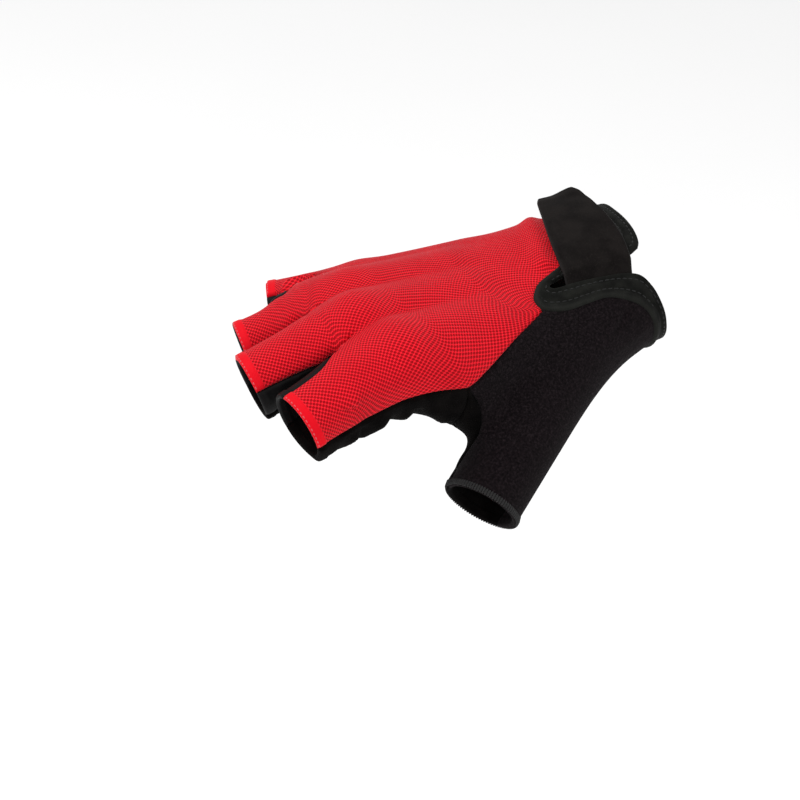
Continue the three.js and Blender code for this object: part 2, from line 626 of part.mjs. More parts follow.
const CLOTH = {
  back: new THREE.MeshStandardMaterial({ color: 0xd3202c, roughness: 0.85 }),
  palm: new THREE.MeshStandardMaterial({ color: 0x1d1d1c, roughness: 0.9 }),
  thumb: new THREE.MeshStandardMaterial({ color: 0x242223, roughness: 0.95 }),
  wall: new THREE.MeshStandardMaterial({ color: 0x141415, roughness: 0.8 }),
  band: new THREE.MeshStandardMaterial({ color: 0x1f201d, roughness: 0.85 }),
  tab: new THREE.MeshStandardMaterial({ color: 0x222020, roughness: 0.8 }),
  patch: new THREE.MeshStandardMaterial({ color: 0x18181a, roughness: 0.9 }),
};

const glove = new THREE.Group();
glove.name = "cycling_glove";
function add(name, geometry, material) {
  const mesh = new THREE.Mesh(geometry, material);
  mesh.name = name;
  glove.add(mesh);
}
const backLift = (p) => foldAt(FOLDS.back, p);
const palmLift = (p) => foldAt(FOLDS.palm, p);
add("back_panel", solid(backStrips(), withHem(BACK_THICKNESS), 1, backLift), CLOTH.back);
add("palm_panel", solid(palmStrips(), withHem(PALM_THICKNESS), 1, palmLift), CLOTH.palm);
add("thumb_panel", solid(thumbStrips(), withHem(THUMB_THICKNESS), 1), CLOTH.thumb);
GAPS.forEach((_, i) => {
  const name = `finger_wall_${FINGERS[i].name}_${FINGERS[i + 1].name}`;
  add(name, solid([wallStrip(i)], withHems(WALL_THICKNESS), 2), CLOTH.wall);
});
add("cuff_band", solid([bandStrip()], even(BAND_THICKNESS), 0), CLOTH.band);
const tab = tabStrip();
const patchLift = (p) => tabLift(p) - PATCH_DROP;
add("closure_tab", solid([tab], even(TAB_THICKNESS), 0, tabLift), CLOTH.tab);
add("closure_patch", solid([patchStrip(tab)], even(PATCH_THICKNESS), 0, patchLift), CLOTH.patch);

export default glove;
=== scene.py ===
"""The looks of a right fingerless cycling glove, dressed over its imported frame.

Every cloth piece lies on one smooth form, the glove's worn shape, which is worked out here from the same
sizes as the part. A piece starts as a coarse grid between two seams, is evened out, made finer by curves
through its points and laid onto the form again. Then it gets its wall, with sunk seams, turned hems, folds
and gathers. Lengths are in millimetres until a mesh is made, in the frame's own axes.
"""

import json
import math

import bpy
import numpy as np
from mathutils import Matrix

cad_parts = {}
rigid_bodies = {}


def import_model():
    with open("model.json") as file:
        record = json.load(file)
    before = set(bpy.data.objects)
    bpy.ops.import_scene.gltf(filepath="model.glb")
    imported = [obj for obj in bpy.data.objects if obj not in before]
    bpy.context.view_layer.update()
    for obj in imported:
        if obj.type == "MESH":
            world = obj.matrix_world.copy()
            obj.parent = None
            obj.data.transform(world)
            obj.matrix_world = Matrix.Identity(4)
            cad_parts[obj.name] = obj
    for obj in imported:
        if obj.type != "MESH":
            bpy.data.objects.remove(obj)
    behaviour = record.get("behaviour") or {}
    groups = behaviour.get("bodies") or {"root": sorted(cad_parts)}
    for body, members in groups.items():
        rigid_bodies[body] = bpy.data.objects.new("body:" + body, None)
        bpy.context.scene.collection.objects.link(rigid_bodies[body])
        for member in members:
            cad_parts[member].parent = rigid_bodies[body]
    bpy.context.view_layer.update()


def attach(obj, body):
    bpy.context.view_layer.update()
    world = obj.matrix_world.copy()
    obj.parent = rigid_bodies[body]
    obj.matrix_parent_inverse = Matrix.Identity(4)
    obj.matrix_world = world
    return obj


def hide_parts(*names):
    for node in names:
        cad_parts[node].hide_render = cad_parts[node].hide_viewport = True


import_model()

MM = 0.001


# Sizes of the cloth

BACK_THICKNESS = 1.3
PALM_THICKNESS = 1.8
THUMB_THICKNESS = 1.4
WALL_THICKNESS = 1.0
BAND_THICKNESS = 2.0
TAB_THICKNESS = 1.6
PATCH_THICKNESS = 1.2
LAYER_GAP = 0.35
HEM_WIDTH = 3.0
HEM_EXTRA = 0.7
SEAM_ROLL = 1.3
SEAM_REST = 0.25
EDGE_ROLL = 0.8
EDGE_THIN = 0.12
LEAST_WALL = 0.1
HEM_EASE = 0.2
ON_HEM = 0.3
FINE = 6
SETTLE_ROUNDS = 14


def table(columns, rows):
    """A table with named columns: each column becomes one array."""
    return {name: np.array(values) for name, values in zip(columns.split(), zip(*rows))}


# The glove's body from the wrist to the finger roots: middle, half width, height above and below the middle
BODY = table("x y half top bottom", [
    (30, 0, 29, 20, 20),
    (0, 0, 30, 20, 20),
    (-25, -0.5, 32, 18.6, 20),
    (-50, -2, 34, 14.6, 19),
    (-80, -3.5, 35, 12, 15),
    (-102, -2, 34.5, 10, 13),
    (-114, 1, 33, 7, 9),
    (-122, 2, 26, 2, 4),
])
BODY_END = -122

# Each finger's line from its root inside the body over the knuckle to the middle of its hem
FINGERS = table("root knuckle hem radii", [
    ((-70, -24, 1), (-101, -28.5, 3.4), (-138.3, -35.9, -7.9), (10, 12.2, 11.1)),
    ((-70, -7, 1), (-106, -9, 4.6), (-144.1, -9, -7.6), (10, 12, 10.5)),
    ((-65, 9, 0), (-99, 12, 0.2), (-137.7, 16.2, -10.4), (10, 11, 10)),
    ((-55, 22, -5), (-89, 30, -7.2), (-119, 40.5, -11.8), (10, 10.4, 9.4)),
])
FINGER_NAMES = ["index", "middle", "ring", "little"]

# The gap between each pair of fingers: where it ends, half its width, its web's radius and how low that sits
GAPS = table("x half web drop", [
    (-120.5, 2.1, 6, 0),
    (-121.5, 1.8, 6, 1),
    (-109, 1.9, 5.5, 2),
])
WEB_BEHIND = 4

# The thumb's line to the middle of its hem, and the web between it and the index finger
THUMB = table("at radius", [
    ((-26, -16, -8), 13),
    ((-58.4, -37.8, -25.8), 13.2),
    ((-82.3, -53.6, -42.4), 12),
])
THUMB_WEB = table("at radius", [
    ((-88, -30, -6), 7),
    ((-66, -38, -26), 8),
])

# How far two parts of the form reach into each other where they meet
JOINT_BLEND = 4
FINGER_BLEND = 2.4
GAP_BLEND = 3
WEB_BLEND = 9
BODY_BLEND = 14
THUMB_BLEND = 26
PAST_HEM = 25


# The form

TINY = 1e-9
LEAST_REACH = 1e-6
FAR_OFF = 1e3


def length(v):
    """Length of each vector, kept as a last axis of one."""
    return np.linalg.norm(v, axis=-1, keepdims=True)


def unit(v):
    """Each vector divided by its length."""
    return v / np.maximum(length(v), TINY)


def smooth_min(a, b, reach):
    """The smaller distance, less a cubic fillet wherever the two differ by less than reach."""
    h = np.maximum(reach - np.abs(a - b), 0) / reach
    return np.minimum(a, b) - h**3 * reach / 6


def even_curve(a, b, c, d, t):
    """The point at share t of the way from b to c on a uniform Catmull-Rom curve through all four."""
    return b + 0.5 * t * (c - a + t * (2 * a - 5 * b + 4 * c - d + t * (3 * b - a - 3 * c + d)))


def cone(p, a, b, radius_a=0.0, radius_b=0.0):
    """Distance to a cone with round ends: to the nearest point of its line, less the radius there."""
    line = b - a
    t = np.clip((p - a) @ line / (line @ line), 0, 1)
    return np.linalg.norm(p - a - t[:, None] * line, axis=1) - (radius_a + (radius_b - radius_a) * t)


def body_distance(p):
    """Distance to the body: half ellipses above and below, with sizes on a smooth curve through BODY."""
    last = len(BODY["x"]) - 2
    i = np.clip(len(BODY["x"]) - np.searchsorted(BODY["x"][::-1], p[:, 0], side="right") - 1, 0, last)
    t = np.clip((BODY["x"][i] - p[:, 0]) / (BODY["x"][i] - BODY["x"][i + 1]), 0, 1)

    def at(key):
        return even_curve(*(BODY[key][np.clip(i + k, 0, last + 1)] for k in (-1, 0, 1, 2)), t)

    y = p[:, 1] - at("y")
    deep = np.where(p[:, 2] > 0, at("top"), at("bottom"))
    reach = np.hypot(y / at("half"), p[:, 2] / deep)
    steep = np.hypot(y / at("half") ** 2, p[:, 2] / deep**2) / np.maximum(reach, LEAST_REACH)
    side = (reach - 1) / np.maximum(steep, LEAST_REACH)
    past = BODY_END - p[:, 0]
    return np.where(past > 0, np.hypot(np.maximum(side, 0), past), side)


def beyond(a, b, by):
    """The point past b on the line from a."""
    return b + unit(b - a) * by


def axis_at(i, x):
    """The point of finger i's line at each x."""
    root, knuckle, hem = (FINGERS[key][i] for key in ("root", "knuckle", "hem"))
    x = np.asarray(x, float)[..., None]
    behind = root + (knuckle - root) * (x - root[0]) / (knuckle[0] - root[0])
    ahead = knuckle + (hem - knuckle) * (x - knuckle[0]) / (hem[0] - knuckle[0])
    return np.where(x > knuckle[0], behind, ahead)


FINGER_TIPS = beyond(FINGERS["knuckle"], FINGERS["hem"], PAST_HEM)
TAPER = (FINGERS["radii"][:, 2] - FINGERS["radii"][:, 1]) / length(FINGERS["hem"] - FINGERS["knuckle"])[:, 0]
TIP_RADII = FINGERS["radii"][:, 2] + TAPER * PAST_HEM
THUMB_TIP = beyond(THUMB["at"][1], THUMB["at"][2], PAST_HEM)


def gap_distance(p, i):
    """Distance to the thin gap between two fingers, measured sideways from the middle of their lines."""
    a = axis_at(i, p[:, 0])
    b = axis_at(i + 1, p[:, 0])
    aside = np.sum((p - (a + b) / 2) * unit(b - a), axis=1)
    return np.hypot(aside, np.maximum(p[:, 0] - GAPS["x"][i], 0)) - GAPS["half"][i]


def form(p):
    """Distance out of the worn shape, from points in rows: below nought inside, nought on the surface."""
    whole = np.full(len(p), FAR_OFF)
    for i, (root, knuckle, radii) in enumerate(zip(FINGERS["root"], FINGERS["knuckle"], FINGERS["radii"])):
        back = cone(p, root, knuckle, radii[0], radii[1])
        front = cone(p, knuckle, FINGER_TIPS[i], radii[1], TIP_RADII[i])
        whole = smooth_min(whole, smooth_min(back, front, JOINT_BLEND), FINGER_BLEND)
    for i, (x, web, drop) in enumerate(zip(GAPS["x"], GAPS["web"], GAPS["drop"])):
        below = np.array([0, 0, -drop])
        ends = [axis_at(k, x + WEB_BEHIND) + below for k in (i, i + 1)]
        whole = smooth_min(whole, cone(p, *ends, web, web), WEB_BLEND)
    whole = smooth_min(whole, body_distance(p), BODY_BLEND)
    for i in range(len(GAPS["x"])):
        whole = -smooth_min(-whole, gap_distance(p, i), GAP_BLEND)
    at, radius = THUMB["at"], THUMB["radius"]
    ends = [(at[0], at[1], radius[0], radius[1]), (at[1], at[2], radius[1], radius[2])]
    thumb = cone(p, at[2], THUMB_TIP, radius[2], radius[2])
    for a, b, radius_a, radius_b in ends:
        thumb = np.minimum(thumb, cone(p, a, b, radius_a, radius_b))
    thumb = smooth_min(thumb, cone(p, *THUMB_WEB["at"], *THUMB_WEB["radius"]), WEB_BLEND)
    return smooth_min(whole, thumb, THUMB_BLEND)


STEP = 0.05
ON_FORM = 1e-3
LEAST_SLOPE = 0.3
LONGEST_MOVE = 3


def slope(p):
    """How the distance grows along X, Y and Z, by central differences."""
    return np.stack([form(p + step) - form(p - step) for step in STEP * np.eye(3)], axis=1) / (2 * STEP)


def outward(points):
    """The form's outward direction at each point, in the points' own layout."""
    p = np.asarray(points, float)
    return unit(slope(p.reshape(-1, 3))).reshape(p.shape)


def onto_form(points, rounds=8):
    """Moves each point straight along the slope until it lies on the form."""
    p = np.array(points, float).reshape(-1, 3)
    for _ in range(rounds):
        value = form(p)
        off = np.abs(value) > ON_FORM
        if not off.any():
            break
        steep = slope(p[off])
        size = np.maximum(np.linalg.norm(steep, axis=1), LEAST_SLOPE)
        move = np.clip(value[off] / size, -LONGEST_MOVE, LONGEST_MOVE)
        p[off] -= (move / size)[:, None] * steep
    return p.reshape(np.shape(points))


# Seams

DENSE_STEPS = 60
LEAST_TURN = 0.01


def curve_at(keys, where, closed=False):
    """Points of a centripetal Catmull-Rom curve, at places counted in keys from the first one."""
    keys = np.asarray(keys, float)
    if closed:
        four = [np.roll(keys, 1 - k, axis=0) for k in range(4)]
    else:
        ends = np.vstack([2 * keys[0] - keys[1], keys, 2 * keys[-1] - keys[-2]])
        four = [ends[k:k + len(keys) - 1] for k in range(4)]
    i = np.minimum(where.astype(int), len(four[0]) - 1)
    t = (where - i)[:, None]
    a, b, c, d = (points[i] for points in four)
    ab, bc, cd = (np.sqrt(length(end - start)) for start, end in ((a, b), (b, c), (c, d)))
    leave = ((b - a) / ab - (c - a) / (ab + bc) + (c - b) / bc) * bc
    arrive = ((c - b) / bc - (d - b) / (bc + cd) + (d - c) / cd) * bc
    return b + t * (leave + t * (3 * (c - b) - 2 * leave - arrive + t * (2 * (b - c) + leave + arrive)))


def even_points(line, count):
    """A line of points walked again in count equal steps."""
    run = np.concatenate([[0], np.cumsum(np.linalg.norm(np.diff(line, axis=0), axis=1))])
    places = np.linspace(0, run[-1], count + 1)
    return np.stack([np.interp(places, run, axis) for axis in line.T], axis=1)


def seam(keys, steps):
    """A smooth line through key points, drawn onto the form in equal steps."""
    dense = curve_at(keys, np.linspace(0, len(keys) - 1, DENSE_STEPS * len(keys)))
    return onto_form(even_points(dense, steps))


def joined(*lines):
    """Lines end to end, where each starts at the last point of the one before."""
    return np.vstack([lines[0], *(line[1:] for line in lines[1:])])


# The cuff band between the panels and the open edge, round the wrist and round the slit on the back
BAND = table("name inner edge steps", [
    ("ulnar corner of the slit", (-14, -9.5, 18.5), (-8.6, -15.2, 17.4), 3),
    ("slit, middle", (-27, -11.5, 17.5), (-25, -18.6, 16.2), 2),
    ("slit, far", (-38.3, -16, 15.9), (-37, -18.9, 15.5), 1),
    ("loop, ulnar", (-45.6, -18.6, 14.2), (-42.2, -19.5, 14.5), 2),
    ("loop, end", (-50.2, -23.6, 12.2), (-43.8, -21, 13.8), 2),
    ("thumb seam", (-49.2, -28, 10.7), (-42.6, -22.2, 13.6), 2),
    ("radial side of the slit", (-40.9, -30.1, 10.1), (-37, -22.4, 14.1), 2),
    ("radial, middle", (-27.5, -29, 11), (-26, -23.2, 14.6), 2),
    ("radial corner", (-17, -30.7, 7.6), (-12.8, -24.3, 13.2), 2),
    ("radial side", (-12, -31.8, 3), (-7.4, -29.8, 5.2), 2),
    ("radial low side", (-9.3, -31, -4.5), (-4.4, -30.4, -4.6), 1),
    ("radial palm side", (-8.2, -25.2, -12.6), (-2, -24.2, -12.8), 1),
    ("palm seam", (-8, -18.5, -16.6), (-0.8, -17, -16.8), 11),
    ("palm, middle", (-8, 2, -20), (-0.2, 2, -20), 8),
    ("palm, ulnar", (-8, 22, -14.2), (-0.2, 22, -13.8), 7),
    ("ulnar seam", (-8, 30.2, -3), (-0.2, 30, -3), 6),
    ("ulnar side", (-10, 26, 10), (-2, 24.6, 10.8), 6),
    ("back, ulnar", (-12.6, 11, 18.2), (-4.6, 10.5, 18.6), 8),
])
BAND_COLUMNS = 3
BAND_NAMES = list(BAND["name"])
BAND_START = np.concatenate([[0], np.cumsum(BAND["steps"])])[:-1]
BAND_PLACES = np.concatenate([i + np.arange(steps) / steps for i, steps in enumerate(BAND["steps"])])
BAND_INNER = onto_form(curve_at(BAND["inner"], BAND_PLACES, closed=True))
BAND_EDGE = onto_form(curve_at(BAND["edge"], BAND_PLACES, closed=True))


def band_part(start, end):
    """The band's inner line from one named place to another."""
    a, b = (BAND_START[BAND_NAMES.index(name)] for name in (start, end))
    count = len(BAND_INNER)
    return BAND_INNER[(a + np.arange((b - a) % count + 1)) % count]


# Key points of the seams and of the lines inside a panel, from the wrist towards the hems
CORNER = (-82.6, -43, -3.2)
THUMB_BACK_SEAM = [(-58.9, -33.7, 7.8)]
INDEX_SEAM = [(-97, -42.4, -1.6), (-108, -42, -3.4), (-118, -43.5, -5)]
WEB_SEAM = [(-78.6, -43.2, -11), (-78.2, -43.4, -18), (-80.4, -41.6, -27), (-85.5, -42.6, -33)]
THUMB_PALM_SEAM = [(-28, -20, -22), (-50.8, -37.6, -37.3)]
THUMB_BACK_LINE = [(-36, -36, -2), (-59, -46.8, -15.7)]
THUMB_PALM_LINE = [(-38, -16, -24), (-61, -26, -31), (-73.5, -34.5, -40)]
WEB_LINE = [(-40, -10, -22), (-64, -20, -22), (-77, -30, -22), (-81, -38, -14)]
INDEX_BACK_LINE = [(-50, -20, 14), (-90, -35, 10), (-115, -34.5, 12)]
ULNAR_SEAM = [(-40, 34.5, -3), (-75, 36.5, -6), (-95, 41, -9)]
GAP_BACK = onto_form([(-119, -21.3, 6), (-119.4, 4.3, 5.2), (-107, 27, 1)])
GAP_PALM = onto_form([(-118.5, -20, -6.4), (-119.5, 1.6, -7), (-107.3, 22.8, -11.5)])

# Seams round each finger, in degrees from its back, where a turn towards the thumb is negative
FINGER_SEAMS = {
    "back_thumb": (-101, -66, -62, -34),
    "back_line": (-35, None, None, None),
    "back_little": (14, 48, 30, 98),
    "palm_thumb": (-101, -122, -122, -122),
    "palm_little": (122, 122, 122, 98),
}
FAST_TURN = {("back_little", 0): 4}
THUMB_FACING = np.array([-0.084, -0.65, 0.756])
THUMB_SEAMS = {"web": 91, "back": 0, "palm": -135, "palm_line": 155}
INSIDE = 8.5
HEM_BACK = np.array([HEM_WIDTH, HEM_WIDTH / 2, 0])
THUMB_SEAM_ROWS = 5
INDEX_ROWS = 4
FINGER_ROWS = 5
THUMB_ROWS = 10
WALL_COLUMNS = 4
WEB_STEPS = 24
WEB_ROUNDS = 16


def ring(start, hem, facing):
    """The frame of a hem: its middle, the line to it, and the directions up and across."""
    line = unit(hem - start)
    up = unit(facing - (facing @ line) * line)
    return hem, line, up, np.cross(line, up)


def on_ring(around, degrees, back):
    """Points on the form so many degrees round a hem's line and so far back from the hem."""
    hem, line, up, across = around
    turn = np.radians(np.atleast_1d(degrees))[:, None]
    away = np.atleast_1d(back)[:, None]
    return onto_form(hem - line * away + INSIDE * (up * np.cos(turn) + across * np.sin(turn)))


UP = np.array([0.0, 0.0, 1.0])
FINGER_RINGS = [ring(a, b, UP) for a, b in zip(FINGERS["knuckle"], FINGERS["hem"])]
THUMB_RING = ring(THUMB["at"][1], THUMB["at"][2], THUMB_FACING)


def to_thumb(side, keys, steps):
    """A seam along the thumb that ends in the rows of its hem."""
    ends = on_ring(THUMB_RING, THUMB_SEAMS[side], HEM_BACK)
    return joined(seam([*keys, ends[0]], steps), ends)


def to_finger(i, side, start):
    """A seam along a finger that soon turns from its start to its own side of the finger."""
    around = FINGER_RINGS[i]
    hem, line, up, across = around
    off = start - hem
    first = math.degrees(math.atan2(off @ across, off @ up))
    last = FINGER_SEAMS[side][i]
    t = np.arange(1, FINGER_ROWS + 1) / FINGER_ROWS
    turned = 1 - (1 - t) ** FAST_TURN.get((side, i), 2)
    rows = on_ring(around, first + (last - first) * turned, -(off @ line) * (1 - t) + HEM_BACK[0] * t)
    return joined(np.vstack([start, rows]), on_ring(around, last, HEM_BACK))


def strip(left, right, columns, first=None):
    """A grid of cloth between two seams. Each row is a round arc square to the seams, laid onto the form."""
    steps = [np.arange(len(left)) + k for k in (-1, 1)]
    before, after = (np.clip(step, 0, len(left) - 1) for step in steps)
    along = unit(left[after] - left[before] + right[after] - right[before])
    from_left, from_right = outward(left), outward(right)
    turn = np.arccos(np.clip(np.sum(from_left * from_right, axis=1), -1, 1))
    turn = np.maximum(turn, LEAST_TURN)
    share = np.arange(1, columns) / columns
    t = 0.5 - 0.5 * np.sin((0.5 - share) * turn[:, None]) / np.sin(turn[:, None] / 2)
    up = from_left + from_right
    up = unit(up - np.sum(up * along, axis=1, keepdims=True) * along)
    rise = 2 * length(right - left) * np.tan(turn / 4)[:, None] * t * (1 - t)
    inside = left[:, None] + (right - left)[:, None] * t[..., None] + up[:, None] * rise[..., None]
    grid = np.concatenate([left[:, None], onto_form(inside), right[:, None]], axis=1)
    if first is not None:
        grid[0] = first
    return grid


slit_seam = band_part("ulnar corner of the slit", "thumb seam")
wrist_back = band_part("ulnar seam", "ulnar corner of the slit")[::-1]
wrist_thumb = band_part("thumb seam", "palm seam")
wrist_palm = band_part("palm seam", "ulnar seam")
thumb_seam_keys = [slit_seam[-1], *THUMB_BACK_SEAM, CORNER]
CORNER_ROW = len(slit_seam) - 1 + THUMB_SEAM_ROWS
BODY_ROWS = CORNER_ROW + INDEX_ROWS
index_seam = seam([CORNER, *INDEX_SEAM], INDEX_ROWS)
index_side = joined(index_seam, to_finger(0, "back_thumb", index_seam[-1]))
ulnar_body = seam([wrist_back[-1], *ULNAR_SEAM], BODY_ROWS)
ulnar_seam = joined(ulnar_body, to_finger(3, "back_little", ulnar_body[-1]))
web_side = to_thumb("web", [CORNER, *WEB_SEAM], THUMB_ROWS)
thumb_palm_seam = to_thumb("palm", [wrist_thumb[-1], *THUMB_PALM_SEAM], CORNER_ROW + THUMB_ROWS)
gap_seams = [
    {
        f"{side}_{which}": to_finger(i + k, f"{side}_{turn}", ends[i])
        for side, ends in (("back", GAP_BACK), ("palm", GAP_PALM))
        for k, which, turn in ((0, "low", "little"), (1, "high", "thumb"))
    }
    for i in range(len(GAPS["x"]))
]


def strips_between(lefts, rights, starts, first_line):
    """The strips of a panel, whose first rows share one line."""
    return [
        strip(left, right, end - start, first_line[start:end + 1])
        for left, right, start, end in zip(lefts, rights, starts, starts[1:])
    ]


def finger_lines(side, wrist, starts, ends):
    """Lines from the wrist to the ends of the gaps, going on up the higher finger's side and the lower's."""
    lines = [seam([wrist[start], end], BODY_ROWS) for start, end in zip(starts, ends)]
    return [
        [joined(line, sides[f"{side}_{which}"]) for line, sides in zip(lines, gap_seams)]
        for which in ("high", "low")
    ]


def back_strips():
    """The back: two strips for the index finger and one for each other finger."""
    starts = [0, 4, 7, 11, 15, 20]
    radial = joined(slit_seam, seam(thumb_seam_keys, THUMB_SEAM_ROWS), index_side)
    index_body = seam([wrist_back[starts[1]], *INDEX_BACK_LINE], BODY_ROWS)
    index_line = joined(index_body, to_finger(0, "back_line", index_body[-1]))
    high, low = finger_lines("back", wrist_back, starts[2:], GAP_BACK)
    return strips_between([radial, index_line, *high], [index_line, *low, ulnar_seam], starts, wrist_back)


def palm_strips():
    """The palm: two strips for the thumb and its web, and one for each finger."""
    starts = [0, 3, 6, 11, 16, 21, 26]
    web = seam([wrist_palm[starts[2]], *WEB_LINE, CORNER], CORNER_ROW)
    thumb_line = to_thumb("palm_line", [wrist_palm[starts[1]], *THUMB_PALM_LINE], CORNER_ROW + THUMB_ROWS)
    high, low = finger_lines("palm", wrist_palm, starts[3:], GAP_PALM)
    lefts = [thumb_palm_seam, thumb_line, joined(web, index_side), *high]
    rights = [thumb_line, joined(web, web_side), *low, ulnar_seam]
    return strips_between(lefts, rights, starts, wrist_palm)


def thumb_strips():
    """The thumb: one strip on each side of the line along its back."""
    columns = (len(wrist_thumb) - 1) // 2
    web = joined(seam(thumb_seam_keys, CORNER_ROW), web_side)
    back = to_thumb("back", [wrist_thumb[columns], *THUMB_BACK_LINE], CORNER_ROW + THUMB_ROWS)
    starts = [0, columns, 2 * columns]
    return strips_between([web, back], [back, thumb_palm_seam], starts, wrist_thumb)


def web_row(i):
    """Even steps round the web from the back to the palm, where rays from its middle leave the form. The
    rays turn from one end to the other, and a point goes out by the distance that it is still inside."""
    below = np.array([0, 0, -GAPS["drop"][i]])
    x = GAPS["x"][i] + WEB_BEHIND
    centre = (axis_at(i, x) + axis_at(i + 1, x)) / 2 + below
    to_back, to_palm = unit(GAP_BACK[i] - centre), unit(GAP_PALM[i] - centre)
    turn = np.arccos(to_back @ to_palm)
    angle = np.linspace(0, turn, WEB_STEPS + 1)[:, None]
    ways = unit(np.sin(turn - angle) * to_back + np.sin(angle) * to_palm)
    line = np.repeat(centre[None], WEB_STEPS + 1, axis=0)
    for _ in range(WEB_ROUNDS):
        line -= ways * form(line)[:, None]
    row = onto_form(even_points(line, WALL_COLUMNS))
    row[0], row[-1] = GAP_BACK[i], GAP_PALM[i]
    return row


def wall_strip(i):
    """The wall between two fingers, from one hem to the end of the gap and out to the other hem."""
    sides = gap_seams[i]
    back, palm = (joined(sides[f"{side}_low"][::-1], sides[f"{side}_high"]) for side in ("back", "palm"))
    grid = strip(back, palm, WALL_COLUMNS)
    grid[len(grid) // 2] = web_row(i)
    return grid


def band_strip():
    """The band, a closed strip from its inner line to its open edge."""
    inner, edge = (np.vstack([line, line[:1]]) for line in (BAND_INNER, BAND_EDGE))
    grid = strip(inner, edge, BAND_COLUMNS)
    grid[-1] = grid[0]
    return grid


# The closure tab: both ends of each row, and how far it stands off the form
TAB = table("left right lift", [
    ((-38.8, -24.6, 13.2), (-14.6, -26.4, 12.3), -2.2),
    ((-38.6, -21.6, 14.2), (-14.4, -22.9, 14.2), 0.0),
    ((-38.3, -19.2, 15.1), (-14.2, -20.4, 15.6), 2.2),
    ((-37.3, -12, 16.8), (-13.2, -13, 18), 3.3),
    ((-35.2, -3, 17.6), (-12.7, -4, 19.6), 4),
    ((-32.2, 7, 17.6), (-12.6, 5.5, 19.7), 4.8),
    ((-28.6, 17, 15.6), (-12.8, 15, 17.6), 6.2),
    ((-26.4, 20.6, 14), (-14.4, 19.2, 16), 6.8),
])
TAB_ROWS = 14
TAB_COLUMNS = 6
TAB_CORNER_LIFT = 1.8
PATCH_ROWS = slice(8, 14)
PATCH_COLUMNS = slice(1, 6)
PATCH_DROP = (TAB_THICKNESS + PATCH_THICKNESS) / 2 + LAYER_GAP


def tab_strip():
    """The closure tab from its root beside the slit to its tip."""
    places = np.linspace(0, len(TAB["lift"]) - 1, TAB_ROWS + 1)
    left, right = (onto_form(curve_at(TAB[side], places)) for side in ("left", "right"))
    return strip(left, right, TAB_COLUMNS)


def tab_lift(p):
    """How far the tab stands off, from the middles of its rows. Its outer corner curls up a little more."""
    middles = (TAB["left"][:, 1] + TAB["right"][:, 1]) / 2
    curl = TAB_CORNER_LIFT * eased(p[:, 1], 12, 19.5) * eased(p[:, 0], -23, -14)
    return np.interp(p[:, 1], middles, TAB["lift"]) + curl + folds_at(FOLDS["tab"], p)


# Finer grids

def corners(grid):
    """The four corners of each cell of a grid, in turn round the cell."""
    return [grid[:-1, :-1], grid[:-1, 1:], grid[1:, 1:], grid[1:, :-1]]


def edges_of(ids):
    """All pairs of neighbours in grids of point numbers, each once for every cell on it."""
    pairs = []
    for grid in ids:
        around = corners(grid)
        for start, end in zip(around, around[1:] + around[:1]):
            pairs.append(np.stack([start.ravel(), end.ravel()], axis=1))
    return np.vstack(pairs)


def number(grids):
    """Numbers the points of grids so that equal points share one: the points, and the grids of numbers."""
    points = np.vstack([grid.reshape(-1, 3) for grid in grids])
    _, first, inverse = np.unique(np.round(points, 3), axis=0, return_index=True, return_inverse=True)
    ends = np.cumsum([grid[..., 0].size for grid in grids])
    ids = [part.reshape(grid.shape[:2]) for part, grid in zip(np.split(inverse.ravel(), ends[:-1]), grids)]
    return points[first], ids, first


def settled(grids, hems):
    """Evens out a panel's grids: each free point goes to the middle of its neighbours, back on the form."""
    points, ids, _ = number(grids)
    edges = edges_of(ids)
    fixed = np.zeros(len(points), bool)
    oriented = np.vstack([orient(grid, points) for grid in ids])
    fixed[border_of_faces(oriented, len(points)).ravel()] = True
    for grid in ids:
        if hems > 0:
            fixed[grid[-len(HEM_BACK):]] = True
        if hems > 1:
            fixed[grid[:len(HEM_BACK)]] = True
            fixed[grid[len(grid) // 2]] = True
    weight = np.bincount(edges.ravel(), minlength=len(points))
    for _ in range(SETTLE_ROUNDS):
        total = np.zeros_like(points)
        np.add.at(total, edges[:, 0], points[edges[:, 1]])
        np.add.at(total, edges[:, 1], points[edges[:, 0]])
        middle = total / weight[:, None]
        points[~fixed] = onto_form(middle[~fixed], rounds=4)
    return [points[grid] for grid in ids]


def orient(grid, points):
    """The four corners of each cell of a grid, in the order that faces out of the form."""
    cells = np.stack(corners(grid), axis=-1).reshape(-1, 4)
    a, b, c, d = (points[cells[:, k]] for k in range(4))
    facing = np.sum(np.cross(c - a, d - b) * outward(a))
    return cells if facing > 0 else cells[:, ::-1]


def border_of_faces(cells, count):
    """The directed edges that only one cell has, from the cells' corners."""
    start = cells.ravel()
    end = np.roll(cells, -1, axis=1).ravel()
    lone = ~np.isin(start * count + end, end * count + start)
    return np.stack([start[lone], end[lone]], axis=1)


def finer(rows, steps):
    """Steps points from each row to the next, on Catmull-Rom curves through all the rows."""
    ends = np.concatenate([2 * rows[:1] - rows[1:2], rows, 2 * rows[-1:] - rows[-2:-1]])
    t = (np.arange(steps) / steps).reshape(1, -1, *[1] * (rows.ndim - 1))
    fine = even_curve(*(ends[k:len(ends) - 3 + k, None] for k in range(4)), t)
    return np.concatenate([fine.reshape(-1, *rows.shape[1:]), rows[-1:]])


def refined(grid, steps=FINE):
    """A finer grid through the points of a coarse one, laid onto the form."""
    across = finer(finer(grid, steps).swapaxes(0, 1), steps).swapaxes(0, 1)
    return onto_form(across, rounds=5)


# Distances that the walls and the materials follow

FAR = 99.0
HEM_REACH = 12
PAST_EDGE = -1
BESIDE_TUBE = 4


